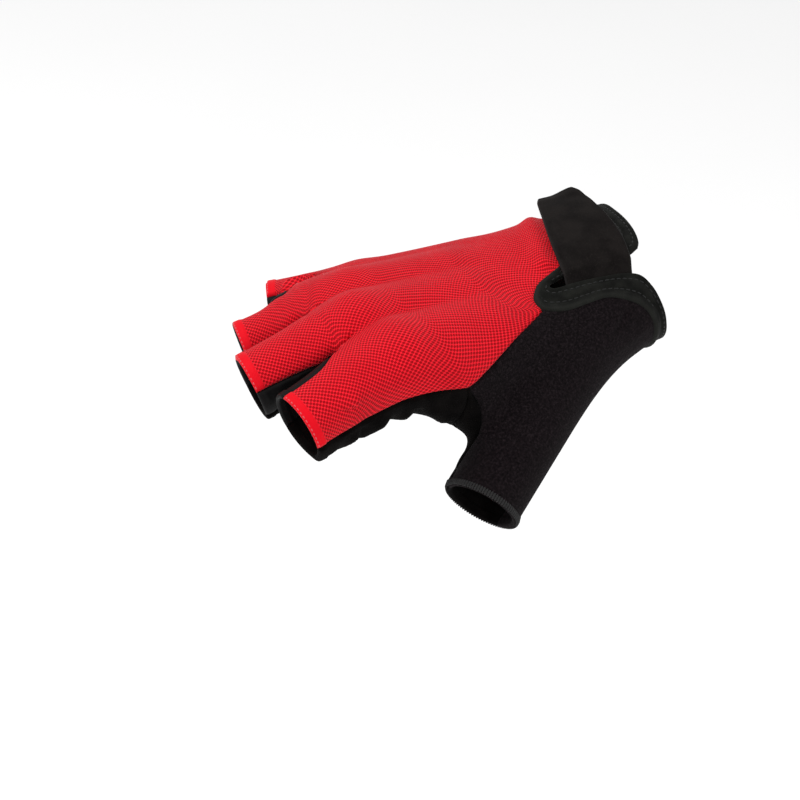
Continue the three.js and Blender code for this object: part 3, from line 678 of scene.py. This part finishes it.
def near(points, line, chunk=2000):
    """Distance from each point to the nearest point of a line."""
    return np.concatenate([
        np.sqrt(((points[k:k + chunk, None] - line[None]) ** 2).sum(axis=2).min(axis=1))
        for k in range(0, len(points), chunk)
    ])


def hem_distance(points):
    """Distance back from the nearest hem, for points on that finger, and FAR elsewhere."""
    best = np.full(len(points), FAR)
    for around, radius in [*zip(FINGER_RINGS, FINGERS["radii"][:, 2]), (THUMB_RING, THUMB["radius"][2])]:
        hem, line, *_ = around
        off = points - hem
        back = -(off @ line)
        aside = np.linalg.norm(off + back[:, None] * line, axis=1)
        on_it = (aside < radius + BESIDE_TUBE) & (back > PAST_EDGE) & (back < HEM_REACH)
        best = np.where(on_it, np.minimum(best, np.maximum(back, 0)), best)
    return best


def bump(distance, width):
    """A smooth hump: one at nought and almost gone at twice the width."""
    return np.exp(-((distance / width) ** 2))


def rolled(distance, radius):
    """A quarter circle: nought at an edge and one from radius on."""
    return np.sqrt(np.clip(1 - (1 - np.clip(distance / radius, 0, 1)) ** 2, 0, 1))


def rounded(distance):
    """The share of a wall's half thickness at a round edge: EDGE_THIN at the edge and one past the roll."""
    return EDGE_THIN + (1 - EDGE_THIN) * rolled(distance, EDGE_ROLL)


def eased(value, low, high):
    """A smooth step from nought at low to one at high."""
    t = np.clip((value - low) / (high - low), 0, 1)
    return t * t * (3 - 2 * t)


def folds_at(folds, p):
    """The sum of all folds of a table: each a hump of height within about width of its line."""
    rows = zip(*(folds[key] for key in ("start", "end", "width", "height")))
    return sum(height * bump(cone(p, start, end), width) for start, end, width, height in rows)


FOLDS = {
    "back": table("start end width height", [
        ((-29, 25, 12.4), (-41, -10, 16.5), 3.2, 1.6),
        ((-23, 26, 12.4), (-35, -8, 17), 4, -0.5),
    ]),
    "palm": table("start end width height", [
        ((-130, -42, -13), (-133, -40, -17), 3, 1),
        ((-112, -41, -11), (-117, -40, -14), 4, 3.2),
        ((-103, -38, -11), (-105, -36, -13), 3, 2.4),
        ((-122, -41.5, -11), (-126, -39.5, -16), 2.2, 1.4),
        ((-108, -40, -10), (-110, -38, -14), 1.6, -1.6),
        ((-98.5, -39.5, -10), (-98, -37, -14), 1.8, -1.4),
        ((-119, -42, -9), (-121, -40, -13), 1.3, -1.2),
        ((-93, -41, -10), (-89, -38, -14), 3, 1.8),
        ((-85, -40, -31), (-86, -37, -35), 2.6, 1.6),
        ((-90, -42.5, -34.5), (-94, -40, -39), 3.6, 2.6),
        ((-28, 18, -18), (-62, 22, -16), 9, 2),
        ((-30, -16, -24), (-46, -24, -31), 7, 1.6),
        ((-96, -20, -14), (-94, 20, -16), 6, 1.6),
    ]),
    "thumb": table("start end width height", [
        ((-22, -33.5, 5), (-26, -36, 1), 1.0, -0.9),
        ((-24.5, -34.5, 5), (-28, -37, 1), 1.2, 0.45),
        ((-38, -32, 10), (-40, -35, 6), 1.0, -0.9),
        ((-40.5, -32.5, 9.5), (-43, -35.5, 5.5), 1.2, 0.4),
        ((-12, -34, -2), (-26, -38, -8), 1.8, 0.6),
        ((-12, -33, -8), (-24, -36, -13), 1.8, 0.6),
        ((-60, -47, -6), (-76, -52, -22), 5, 0.5),
    ]),
    "tab": table("start end width height", [
        ((-36, -17, 16), (-31, 2, 17), 1.0, -0.22),
        ((-30, 17, 15), (-14, 15.5, 17), 1.6, 0.18),
    ]),
    "wall": table("start end width height", [
        ((-122.5, -19.4, 5), (-122, -19.6, -4), 0.8, 0.35),
        ((-125.5, -19.4, 4.5), (-126.5, -19.4, -4), 0.9, 0.3),
        ((-131, -18.9, 2), (-133, -19, -5), 1.1, 0.3),
        ((-138, -18.8, 0), (-137, -19, -6), 1.2, 0.25),
        ((-111.5, 29, -2), (-111, 28.5, -12), 0.8, 0.35),
        ((-114, 29.6, -2), (-113.5, 28.6, -12), 0.8, -0.3),
        ((-116, 30.5, -2), (-115, 29, -13), 0.8, 0.4),
    ]),
}


# Meshes

class Piece:
    """One piece of cloth: its points in millimetres, its faces and the numbers that follow its surface."""

    def __init__(self, grids, hemmed=False):
        self.points, self.ids, self.first = number(grids)
        self.cells = np.vstack([orient(grid, self.points) for grid in self.ids])
        self.normals = outward(self.points)
        self.border = border_of_faces(self.cells, len(self.points))
        edge = np.unique(self.border)
        self.hem = hem_distance(self.points) if hemmed else np.full(len(self.points), FAR)
        self.seam = near(self.points, self.points[edge[self.hem[edge] > ON_HEM]])
        self.attributes = {"seam": self.seam, "hem": self.hem}

    def wall(self, thickness, lift=0.0, edge="seam"):
        """Outer and inner points. A seam sinks to the inside, and a hem or a free edge is round."""
        if edge == "seam":
            turned = 1 - eased(self.hem, HEM_WIDTH - HEM_EASE, HEM_WIDTH + HEM_EASE)
            whole = (thickness + HEM_EXTRA * turned) / 2 * rounded(self.hem)
            sunk = thickness * (1 - SEAM_REST) * (1 - rolled(self.seam, SEAM_ROLL))
            inner = -whole
            outer = np.maximum(whole - sunk, inner + LEAST_WALL)
        else:
            outer = thickness / 2 * rounded(self.seam)
            inner = -outer
        lift = np.broadcast_to(lift, len(self.points))[:, None]
        self.outer = self.points + self.normals * (lift + outer[:, None])
        self.inner = self.points + self.normals * (lift + inner[:, None])

    def area(self):
        """The cloth's own area in square metres: half the cross product of each cell's diagonals."""
        a, b, c, d = (self.points[self.cells[:, k]] for k in range(4))
        return float(length(np.cross(c - a, d - b)).sum() / 2) * MM**2

    def mesh(self, name):
        """The closed mesh of the wall, with its numbers as attributes, in metres."""
        count = len(self.points)
        a, b = self.border.T
        sides = np.stack([b, a, a + count, b + count], axis=1)
        cells = np.vstack([self.cells, self.cells[:, ::-1] + count, sides])
        values = {key: np.concatenate([value, value]) for key, value in self.attributes.items()}
        values["inside"] = np.concatenate([np.zeros(count), np.ones(count)])
        return mesh_object(name, np.vstack([self.outer, self.inner]), cells, values)


def mesh_object(name, points, cells, values=()):
    """A smooth mesh object from points in millimetres, cells of four corners and numbers for each point."""
    mesh = bpy.data.meshes.new(name)
    mesh.vertices.add(len(points))
    mesh.vertices.foreach_set("co", (points * MM).astype(np.float32).ravel())
    mesh.loops.add(cells.size)
    mesh.loops.foreach_set("vertex_index", cells.astype(np.int32).ravel())
    mesh.polygons.add(len(cells))
    mesh.polygons.foreach_set("loop_start", np.arange(0, cells.size, cells.shape[1], dtype=np.int32))
    mesh.update(calc_edges=True)
    mesh.validate()
    mesh.shade_smooth()
    for key in values:
        attribute = mesh.attributes.new(key, "FLOAT", "POINT")
        attribute.data.foreach_set("value", values[key].astype(np.float32))
    made = bpy.data.objects.new(name, mesh)
    bpy.context.scene.collection.objects.link(made)
    return made


# A short thread: a round bar with eight sides and pointed ends, one unit long and one unit in radius
THREAD_SIDES = 8
THREAD_PROFILE = table("along radius", [
    (-0.5, 0.05),
    (-0.44, 0.55),
    (-0.25, 1),
    (0.25, 1),
    (0.44, 0.55),
    (0.5, 0.05),
])


def threads(name, places, directions, normals, size, radius):
    """Many equal stitches as one mesh: the thread's profile turned to each stitch's own direction."""
    turn = np.arange(THREAD_SIDES) * 2 * np.pi / THREAD_SIDES
    along = np.repeat(THREAD_PROFILE["along"], THREAD_SIDES) * size
    around = np.tile(turn, len(THREAD_PROFILE["along"]))
    wide = np.repeat(THREAD_PROFILE["radius"], THREAD_SIDES) * radius
    directions = unit(directions)
    side = unit(np.cross(normals, directions))
    up = np.cross(directions, side)
    points = (
        places[:, None]
        + directions[:, None] * along[None, :, None]
        + side[:, None] * (wide * np.cos(around))[None, :, None]
        + up[:, None] * (wide * np.sin(around))[None, :, None]
    )
    rows = len(THREAD_PROFILE["along"])
    grid = np.arange(rows * THREAD_SIDES).reshape(rows, THREAD_SIDES)
    ahead = np.roll(grid, -1, axis=1)
    cells = np.stack([grid[:-1], ahead[:-1], ahead[1:], grid[1:]], axis=-1).reshape(-1, 4)
    caps = np.array([[0, 3, 2, 1], [0, 5, 4, 3], [0, 7, 6, 5]])
    cells = np.vstack([cells, caps, (caps + (rows - 1) * THREAD_SIDES)[:, ::-1]])
    offsets = np.arange(len(places))[:, None, None] * rows * THREAD_SIDES
    return mesh_object(name, points.reshape(-1, 3), (cells[None] + offsets).reshape(-1, 4))


# Materials

class Value:
    """A number in a material. Arithmetic on it adds Math nodes."""

    def __init__(self, tree, socket):
        self.tree = tree
        self.socket = socket

    def math(self, operation, *others, flip=False):
        """A Math node on this number and others, or on the others first where flip is set."""
        node = self.tree.nodes.new("ShaderNodeMath")
        node.operation = operation
        terms = [*others, self] if flip else [self, *others]
        for socket, term in zip(node.inputs, terms):
            if isinstance(term, Value):
                self.tree.links.new(term.socket, socket)
            else:
                socket.default_value = term
        return Value(self.tree, node.outputs[0])

    def __add__(self, other):
        return self.math("ADD", other)

    def __mul__(self, other):
        return self.math("MULTIPLY", other)

    def __sub__(self, other):
        return self.math("SUBTRACT", other)

    def __rsub__(self, other):
        return self.math("SUBTRACT", other, flip=True)

    def __truediv__(self, other):
        return self.math("DIVIDE", other)

    def step(self, low, high):
        """A smooth step from nought at low to one at high."""
        node = self.tree.nodes.new("ShaderNodeMapRange")
        node.interpolation_type = "SMOOTHSTEP"
        self.tree.links.new(self.socket, node.inputs["Value"])
        node.inputs["From Min"].default_value = low
        node.inputs["From Max"].default_value = high
        return Value(self.tree, node.outputs["Result"])


class Cloth:
    """A material on one Principled shader, with a method for any node that isn't plain arithmetic."""

    def __init__(self, name, roughness, specular, sheen=0.0, sheen_roughness=0.5, sheen_tint=(1, 1, 1)):
        self.material = bpy.data.materials.new(name)
        self.material.use_nodes = True
        self.tree = self.material.node_tree
        self.shader = self.tree.nodes["Principled BSDF"]
        self.shader.inputs["Roughness"].default_value = roughness
        self.shader.inputs["Sheen Weight"].default_value = sheen
        self.shader.inputs["Sheen Roughness"].default_value = sheen_roughness
        self.shader.inputs["Sheen Tint"].default_value = (*sheen_tint, 1)
        self.shader.inputs["Specular IOR Level"].default_value = specular
        self.place = self.node("ShaderNodeTexCoord").outputs["Object"]

    def node(self, kind, settings=(), **inputs):
        """A node of a kind: its settings first, then the values or links of its sockets."""
        made = self.tree.nodes.new(kind)
        for key, value in dict(settings).items():
            setattr(made, key, value)
        for key, value in inputs.items():
            socket = made.inputs[key.replace("_", " ")]
            if isinstance(value, Value):
                self.tree.links.new(value.socket, socket)
            elif isinstance(value, bpy.types.NodeSocket):
                self.tree.links.new(value, socket)
            else:
                socket.default_value = value
        return made

    def number(self, attribute):
        """A number that the piece carries on its surface."""
        made = self.node("ShaderNodeAttribute", {"attribute_name": attribute})
        return Value(self.tree, made.outputs["Fac"])

    def noise(self, per_mm, detail=3.0, rough=0.5):
        """Fine noise from nought to one, with so many waves to a millimetre."""
        scale = per_mm / MM
        made = self.node("ShaderNodeTexNoise", Vector=self.place, Scale=scale, Detail=detail, Roughness=rough)
        return Value(self.tree, made.outputs["Fac"])

    def blend(self, share, a, b):
        """Colour a where share is nought and b where it is one."""
        made = self.node("ShaderNodeMix", {"data_type": "RGBA", "clamp_factor": True})
        self.tree.links.new(share.socket, made.inputs["Factor"])
        for socket, colour in zip((made.inputs[6], made.inputs[7]), (a, b)):
            if isinstance(colour, bpy.types.NodeSocket):
                self.tree.links.new(colour, socket)
            else:
                socket.default_value = (*colour, 1)
        return made.outputs[2]

    def finish(self, colour, height, depth, roughness=None):
        """Links the colour, a bump of the given depth in millimetres, and a roughness that varies."""
        self.tree.links.new(colour, self.shader.inputs["Base Color"])
        bump_node = self.node("ShaderNodeBump", Distance=depth * MM, Height=height)
        self.tree.links.new(bump_node.outputs["Normal"], self.shader.inputs["Normal"])
        if roughness is not None:
            self.tree.links.new(roughness.socket, self.shader.inputs["Roughness"])
        return self.material


HOLE_PITCH = 1.45
LIP_WIDTH = 2.4
RED = (0.93, 0.012, 0.026)
# Dark red of the holes: the lining behind them together with painted shade in them; also used for the faint
# darker clouds
DEEP_RED = (0.34, 0.0005, 0.004)
HEM_RED = (0.74, 0.003, 0.012)


def red_mesh():
    """Red stretch mesh: staggered rows of small holes, which stop at the hems. The holes are painted dark
    red: the lining behind them together with painted shade in them.
    """
    cloth = Cloth("red_mesh", 0.6, 0.07, sheen=0.24, sheen_roughness=0.35, sheen_tint=(1, 0.34, 0.37))
    across = cloth.number("across") / HOLE_PITCH
    along = cloth.number("along") / HOLE_PITCH

    def holes(shift):
        """Distance to the middle of the nearest hole of one of the two sets, in pitches."""
        x = (across + shift).math("FRACT") - 0.5
        y = (along + shift).math("FRACT") - 0.5
        return (x * x + y * y).math("SQRT")

    # Where the holes are: painted shade over the lining's dark red, and sunk by the bump
    hole = 1 - holes(0.0).math("MINIMUM", holes(0.5)).step(0.18, 0.37)
    hole = hole * cloth.number("hem").step(HEM_WIDTH - 0.1, HEM_WIDTH + 0.5)
    hole = hole * (1 - cloth.number("inside"))
    hem = 1 - cloth.number("hem").step(HEM_WIDTH - 0.2, HEM_WIDTH + 0.3)
    soft = cloth.noise(0.12, detail=4.0)
    yarn = cloth.noise(3.0)
    colour = cloth.blend(hem, RED, HEM_RED)
    # Painted shade in the holes, over the lining's dark red
    colour = cloth.blend(hole, colour, DEEP_RED)
    colour = cloth.blend(soft.step(0.35, 0.75) * 0.12, colour, DEEP_RED)
    height = yarn * 0.25 - hole
    return cloth.finish(colour, height, 0.25)


def black_suede():
    """Black synthetic suede: short nap in clouds, with a few light specks."""
    cloth = Cloth("black_suede", 0.92, 0.03, sheen=0.008)
    nap = cloth.noise(1.2, detail=5.0, rough=0.65)
    cloud = cloth.noise(0.16, detail=3.0)
    speck = cloth.noise(5.0, detail=1.0).step(0.68, 0.78)
    colour = cloth.blend(cloud.step(0.3, 0.7), (0.0012, 0.0009, 0.0009), (0.0044, 0.0036, 0.0034))
    colour = cloth.blend(speck * 0.35, colour, (0.05, 0.05, 0.04))
    return cloth.finish(colour, nap + cloud * 0.6, 0.22)


def thumb_microfibre():
    """Dark brushed microfibre: a fine pile with lighter and darker tufts."""
    cloth = Cloth("thumb_microfibre", 0.95, 0.045, sheen=0.018, sheen_roughness=0.6)
    pile = cloth.noise(1.3, detail=4.0, rough=0.75)
    cloud = cloth.noise(0.08, detail=2.0)
    colour = cloth.blend(cloud, (0.0038, 0.0023, 0.0029), (0.0058, 0.0036, 0.0045))
    colour = cloth.blend(pile.step(0.45, 0.75), colour, (0.019, 0.0135, 0.0155))
    colour = cloth.blend(1 - pile.step(0.3, 0.5), colour, (0.0012, 0.0007, 0.0009))
    return cloth.finish(colour, pile, 0.35)


def stretch_knit():
    """Thin black stretch knit of the finger sides: smooth, with a slight gloss and a very fine grain."""
    cloth = Cloth("stretch_knit", 0.6, 0.12)
    grain = cloth.noise(4.0, detail=2.0)
    colour = cloth.blend(grain, (0.0015, 0.0012, 0.0014), (0.0035, 0.003, 0.0032))
    return cloth.finish(colour, grain, 0.06)


def binding_suede():
    """The cuff's binding: black suede with a green-grey cast, paler along its raised lip."""
    cloth = Cloth("binding_suede", 0.9, 0.08, sheen=0.03, sheen_roughness=0.45)
    nap = cloth.noise(1.1, detail=5.0, rough=0.65)
    cloud = cloth.noise(0.25, detail=3.0)
    lip = 1 - cloth.number("lip").step(0.8, LIP_WIDTH)
    colour = cloth.blend(cloud.step(0.3, 0.75), (0.004, 0.0042, 0.0036), (0.0105, 0.0108, 0.0092))
    colour = cloth.blend(lip * 0.4, colour, (0.024, 0.025, 0.022))
    return cloth.finish(colour, nap + cloud * 0.5, 0.2)


def coated_tab():
    """The tab's matt coated cloth, with clouds, a fine grain and a painted highlight along its edges."""
    cloth = Cloth("coated_tab", 0.66, 0.06)
    grain = cloth.noise(1.6, detail=4.0, rough=0.7)
    cloud = cloth.noise(0.16, detail=4.0)
    # Painted highlight: paler within about a millimetre of the tab's edges
    edge_highlight = 1 - cloth.number("seam").step(0.1, 0.8)
    colour = cloth.blend(cloud.step(0.3, 0.7), (0.0036, 0.0026, 0.0024), (0.0092, 0.0074, 0.0068))
    colour = cloth.blend(grain.step(0.5, 0.75) * 0.6, colour, (0.018, 0.0145, 0.0135))
    colour = cloth.blend(edge_highlight * 0.45, colour, (0.028, 0.026, 0.026))
    return cloth.finish(colour, grain, 0.05, roughness=cloud * 0.16 + 0.56)


def fastener_loop():
    """The fastener's matted loops."""
    cloth = Cloth("fastener_loop", 0.95, 0.08, sheen=0.02)
    loops = cloth.noise(2.6, detail=5.0, rough=0.8)
    colour = cloth.blend(loops.step(0.4, 0.7), (0.002, 0.002, 0.0022), (0.009, 0.009, 0.0095))
    return cloth.finish(colour, loops, 0.35)


def sewing_thread(name, low, high, roughness):
    """Twisted thread between two shades."""
    cloth = Cloth(name, roughness, 0.35, sheen=0.1)
    twist = cloth.noise(4.5, detail=2.0)
    return cloth.finish(cloth.blend(twist, low, high), twist, 0.05)


# The pieces

def arc_coordinates(grids, groups, body_rows):
    """Distances over the back along and across it: shared rows over the body, and from its own middle
    line on each finger. Steps along are averaged over the strips of a group."""
    def steps_along(grid):
        return length(np.diff(grid, axis=0))[..., 0].mean(axis=1)

    shared = np.mean([steps_along(grid)[:body_rows] for grid in grids], axis=0)
    along, across, offset = [], [], 0.0
    for group in groups:
        own = np.mean([steps_along(grids[k]) for k in group], axis=0)
        run = np.concatenate([[0], np.cumsum(np.concatenate([shared, own[body_rows:]]))])
        whole = np.concatenate([grids[group[0]][:, :1], *(grids[k][:, 1:] for k in group)], axis=1)
        arc = np.cumsum(length(np.diff(whole, axis=1))[..., 0], axis=1)
        arc = np.concatenate([np.zeros((len(arc), 1)), arc], axis=1)
        middle = arc.shape[1] // 2
        body = arc + offset
        finger = arc - arc[:, middle:middle + 1] + body[body_rows, middle]
        value = np.where(np.arange(len(arc))[:, None] <= body_rows, body, finger)
        offset = offset + arc[:, -1:]
        start = 0
        for k in group:
            width = grids[k].shape[1]
            across.append(value[:, start:start + width])
            along.append(np.repeat(run[:, None], width, axis=1))
            start += width - 1
    return np.concatenate([a.ravel() for a in along]), np.concatenate([a.ravel() for a in across])


BACK_FADE = (0.5, 4)
PANEL_FADE = (0.3, 3)
WALL_FADE = (0.3, 1.5)


def fine_strips(grids, hems=1):
    """The settled and refined grids of a panel, with hems at one end or at both."""
    return [refined(grid) for grid in settled(grids, hems)]


def panel(grids, thickness, folds, fade):
    """A sewn panel with hems, and with folds that fade out towards its seams."""
    piece = Piece(grids, hemmed=True)
    piece.wall(thickness, lift=folds_at(FOLDS[folds], piece.points) * eased(piece.seam, *fade))
    return piece


def dress(made, node_names, material):
    """Puts a piece on the frame: its material, its body and the nodes that it stands for."""
    made.data.materials.append(material)
    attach(made, "root")
    if node_names:
        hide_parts(*node_names)
    return made


def declare(made, piece, line=None):
    """Works out a cloth piece's length, from its box or along a line down its middle, and its area, and
    returns the object as it was.
    """
    low, high = piece.points.min(axis=0), piece.points.max(axis=0)
    long = float(np.max(high - low)) * MM
    if line is not None:
        long = float(np.linalg.norm(np.diff(line, axis=0), axis=1).sum()) * MM
    area = piece.area()
    return made


def finished(piece, name, node, material, line=None):
    return declare(dress(piece.mesh(name), [node], material), piece, line)


def make_back():
    """The red back, with its ridge beside the tab, and with the distances that its holes follow."""
    grids = fine_strips(back_strips())
    piece = panel(grids, BACK_THICKNESS, "back", BACK_FADE)
    along, across = arc_coordinates(grids, [[0, 1], [2], [3], [4]], BODY_ROWS * FINE)
    piece.attributes["along"] = along[piece.first]
    piece.attributes["across"] = across[piece.first]
    finished(piece, "back_mesh", "back_panel", red_mesh())


def make_palm():
    """The black palm, with three low pads, gathered along the index finger and the web."""
    piece = panel(fine_strips(palm_strips()), PALM_THICKNESS, "palm", PANEL_FADE)
    finished(piece, "palm_suede", "palm_panel", black_suede())


def make_thumb():
    """The dark thumb panel, with small puckers by the cuff."""
    piece = panel(fine_strips(thumb_strips()), THUMB_THICKNESS, "thumb", PANEL_FADE)
    finished(piece, "thumb_microfibre", "thumb_panel", thumb_microfibre())


def make_walls():
    """The three black walls between the fingers, creased near their hems."""
    material = stretch_knit()
    for i in range(len(GAPS["x"])):
        piece = panel(fine_strips([wall_strip(i)], hems=2), WALL_THICKNESS, "wall", WALL_FADE)
        pair = f"{FINGER_NAMES[i]}_{FINGER_NAMES[i + 1]}"
        finished(piece, f"side_{pair}", f"finger_wall_{pair}", material)


BAND_LAP = 1.2
LAP_ROWS = 3
LIP_HEIGHT = 0.55
LIP_SPREAD = 1.0
LAP_GROOVE = 3.5
EDGE_GROOVE = 2.1
GROOVE_WIDTH = 0.6
GROOVE_DEPTH = 0.35
RELIEF_FADE = 0.8


def make_band():
    """The folded cuff binding. It laps over the panels, with a raised lip along that edge, and two grooves
    hold its stitches. Returns the grid without the lap."""
    grid = refined(band_strip())
    away = unit(grid[:, :1] - grid[:, 2:3])
    reach = np.linspace(BAND_LAP, BAND_LAP / LAP_ROWS, LAP_ROWS)[None, :, None]
    whole = np.concatenate([onto_form(grid[:, :1] + away * reach), grid], axis=1)
    whole[-1] = whole[0]
    piece = Piece([whole])
    piece.wall(BAND_THICKNESS, edge="free")
    from_lap = near(piece.points, whole[:, 0])
    from_edge = near(piece.points, whole[:, -1])
    grooves = bump(from_lap - LAP_GROOVE, GROOVE_WIDTH) + bump(from_edge - EDGE_GROOVE, GROOVE_WIDTH)
    relief = LIP_HEIGHT * bump(from_lap - LIP_WIDTH / 2, LIP_SPREAD) - GROOVE_DEPTH * grooves
    piece.outer += piece.normals * (relief * eased(piece.seam, 0, RELIEF_FADE))[:, None]
    piece.attributes["lip"] = from_lap
    line = whole[:, whole.shape[1] // 2]
    finished(piece, "cuff_binding", "cuff_band", binding_suede(), line)
    return grid


def make_tab():
    """The closure tab and the fastener patch under its outer part."""
    coarse = tab_strip()
    tab = Piece([refined(coarse)])
    tab.wall(TAB_THICKNESS, lift=tab_lift(tab.points), edge="free")
    finished(tab, "strap_tab", "closure_tab", coated_tab())
    patch = Piece([refined(coarse[PATCH_ROWS, PATCH_COLUMNS])])
    patch.wall(PATCH_THICKNESS, lift=tab_lift(patch.points) - PATCH_DROP, edge="free")
    finished(patch, "strap_patch", "closure_patch", fastener_loop())


def stitch_line(line, pitch):
    """Even places along a line, with the directions there."""
    run = float(np.linalg.norm(np.diff(line, axis=0), axis=1).sum())
    count = max(int(round(run / pitch)), 2)
    points = even_points(line, 2 * count)
    return points[1::2], points[2::2] - points[:-1:2]


BAND_STITCH_ROWS = (0.3, 0.74)
STITCH_PITCH = 2.1
STITCH_LENGTH = 1.5
STITCH_RADIUS = 0.24
STITCH_RISE = 0.1


def make_band_stitches(grid):
    """Two rows of black stitches along the cuff band, sunk in its grooves."""
    thread = sewing_thread("black_thread", (0.001, 0.001, 0.0011), (0.0035, 0.0035, 0.0037), 0.7)
    for number_of_row, share in enumerate(BAND_STITCH_ROWS, start=1):
        places, ways = stitch_line(grid[:, int(round(share * (grid.shape[1] - 1)))], STITCH_PITCH)
        normals = outward(places)
        places = places + normals * (BAND_THICKNESS / 2 - GROOVE_DEPTH + STITCH_RISE)
        row = threads(f"cuff_stitches_{number_of_row}", places, ways, normals, STITCH_LENGTH, STITCH_RADIUS)
        dress(row, [], thread)


HEM_STITCH_BACK = 0.5
HEM_STITCH_PITCH = 1.5
HEM_STITCH_LENGTH = 1.0
HEM_STITCH_RADIUS = 0.2
HEM_STITCH_RISE = 0.8
HEM_STITCH_MARGIN = 4
RING_STEP = 0.04
OVERLOCK_BACK = 1.1
OVERLOCK_TURN = 356
OVERLOCK_SINK = 0.05
OVERLOCK_PITCH = 0.85
OVERLOCK_LENGTH = 2.3
OVERLOCK_RADIUS = 0.42


def hem_ring(around, start, end, back):
    """Points round a hem, from one angle to another, so far back from it."""
    return on_ring(around, np.arange(start, end, math.degrees(RING_STEP)), back)


def make_hem_stitches():
    """A fine row of red stitches along the edge of each finger's hem."""
    thread = sewing_thread("red_thread", (0.5, 0.02, 0.03), (0.75, 0.12, 0.14), 0.55)
    places, ways = [], []
    for i, around in enumerate(FINGER_RINGS):
        start = FINGER_SEAMS["back_thumb"][i] + HEM_STITCH_MARGIN
        end = FINGER_SEAMS["back_little"][i] - HEM_STITCH_MARGIN
        points, directions = stitch_line(hem_ring(around, start, end, HEM_STITCH_BACK), HEM_STITCH_PITCH)
        places.append(points)
        ways.append(directions)
    places = np.vstack(places)
    normals = outward(places)
    places = places + normals * ((BACK_THICKNESS + HEM_EXTRA) / 2 * HEM_STITCH_RISE)
    made = threads("hem_stitches", places, np.vstack(ways), normals, HEM_STITCH_LENGTH, HEM_STITCH_RADIUS)
    dress(made, [], thread)


def make_overlock():
    """The ribbed overlock roll over the thumb's hem: close loops of thread across the edge."""
    thread = sewing_thread("overlock_thread", (0.0025, 0.0022, 0.0024), (0.0085, 0.008, 0.0082), 0.7)
    end = THUMB_SEAMS["web"]
    line = hem_ring(THUMB_RING, end - OVERLOCK_TURN, end, OVERLOCK_BACK)
    places, _ = stitch_line(line, OVERLOCK_PITCH)
    normals = outward(places)
    ways = np.repeat(THUMB_RING[1][None], len(places), axis=0)
    places = places + normals * ((THUMB_THICKNESS + HEM_EXTRA) / 2 - OVERLOCK_SINK)
    made = threads("thumb_overlock", places, ways, normals, OVERLOCK_LENGTH, OVERLOCK_RADIUS)
    dress(made, [], thread)


make_back()
make_palm()
make_thumb()
make_walls()
band_grid = make_band()
make_tab()
make_band_stitches(band_grid)
make_hem_stitches()
make_overlock()


# The stage: a pale floor below the held glove, soft lights and the photograph's view

FLOOR_Z = -0.35
FLOOR_HALF = 6
FLOOR_GLOW = 0.1
WORLD_STRENGTH = 0.58
LIGHTS = [
    ("key", (-0.75, 0.35, 1.45), (-0.08, 0, 0), 1.0, 17),
    ("fill", (-0.7, -1.4, 0.9), (-0.08, 0, 0), 1.2, 7),
    ("side", (1.1, -0.9, 0.8), (-0.05, 0, 0), 0.8, 4),
]
CAMERA_AT = (-0.334126, -0.582202, 0.378539)
CAMERA_AXES = (
    (0.921185, -0.389124, 0.0),
    (0.211932, 0.501714, 0.838671),
    (-0.326347, -0.772571, 0.544639),
)
CAMERA_LENS = 100
CAMERA_NEAR = 0.01


def make_floor():
    """A wide pale floor that glows a little, so that it comes out white."""
    ways = np.array([(-1, -1), (1, -1), (1, 1), (-1, 1)])
    points = np.column_stack([FLOOR_HALF * ways, np.full(4, FLOOR_Z)]) / MM
    floor = mesh_object("floor", points, np.array([[0, 1, 2, 3]]))
    cloth = Cloth("floor_paper", 0.9, 0.1)
    grain = cloth.noise(0.004, detail=2.0)
    cloth.shader.inputs["Emission Color"].default_value = (1, 1, 1, 1)
    cloth.shader.inputs["Emission Strength"].default_value = FLOOR_GLOW
    colour = cloth.blend(grain, (0.93, 0.93, 0.93), (0.96, 0.96, 0.96))
    floor.data.materials.append(cloth.finish(colour, grain, 0.01))


def make_light(name, at, aim, size, power):
    """A square soft light at one point, turned to another."""
    light = bpy.data.lights.new(name, "AREA")
    light.energy = power
    light.size = size
    lamp = bpy.data.objects.new(name, light)
    lamp.location = at
    direction = np.array(aim) - np.array(at)
    yaw = math.atan2(direction[1], direction[0])
    pitch = math.atan2(math.hypot(direction[0], direction[1]), -direction[2])
    lamp.rotation_euler = (pitch, 0, yaw - math.pi / 2)
    bpy.context.scene.collection.objects.link(lamp)


def make_camera():
    """The photograph's camera."""
    camera = bpy.data.cameras.new("camera")
    camera.lens = CAMERA_LENS
    camera.clip_start = CAMERA_NEAR
    view = bpy.data.objects.new("camera", camera)
    view.matrix_world = Matrix([*np.column_stack([*CAMERA_AXES, CAMERA_AT]).tolist(), (0, 0, 0, 1)])
    bpy.context.scene.collection.objects.link(view)
    bpy.context.scene.camera = view


make_floor()
for light in LIGHTS:
    make_light(*light)
make_camera()
world = bpy.data.worlds.new("studio")
world.use_nodes = True
world.node_tree.nodes["Background"].inputs["Color"].default_value = (1, 1, 1, 1)
world.node_tree.nodes["Background"].inputs["Strength"].default_value = WORLD_STRENGTH
bpy.context.scene.world = world
bpy.context.scene.view_settings.view_transform = "Standard"
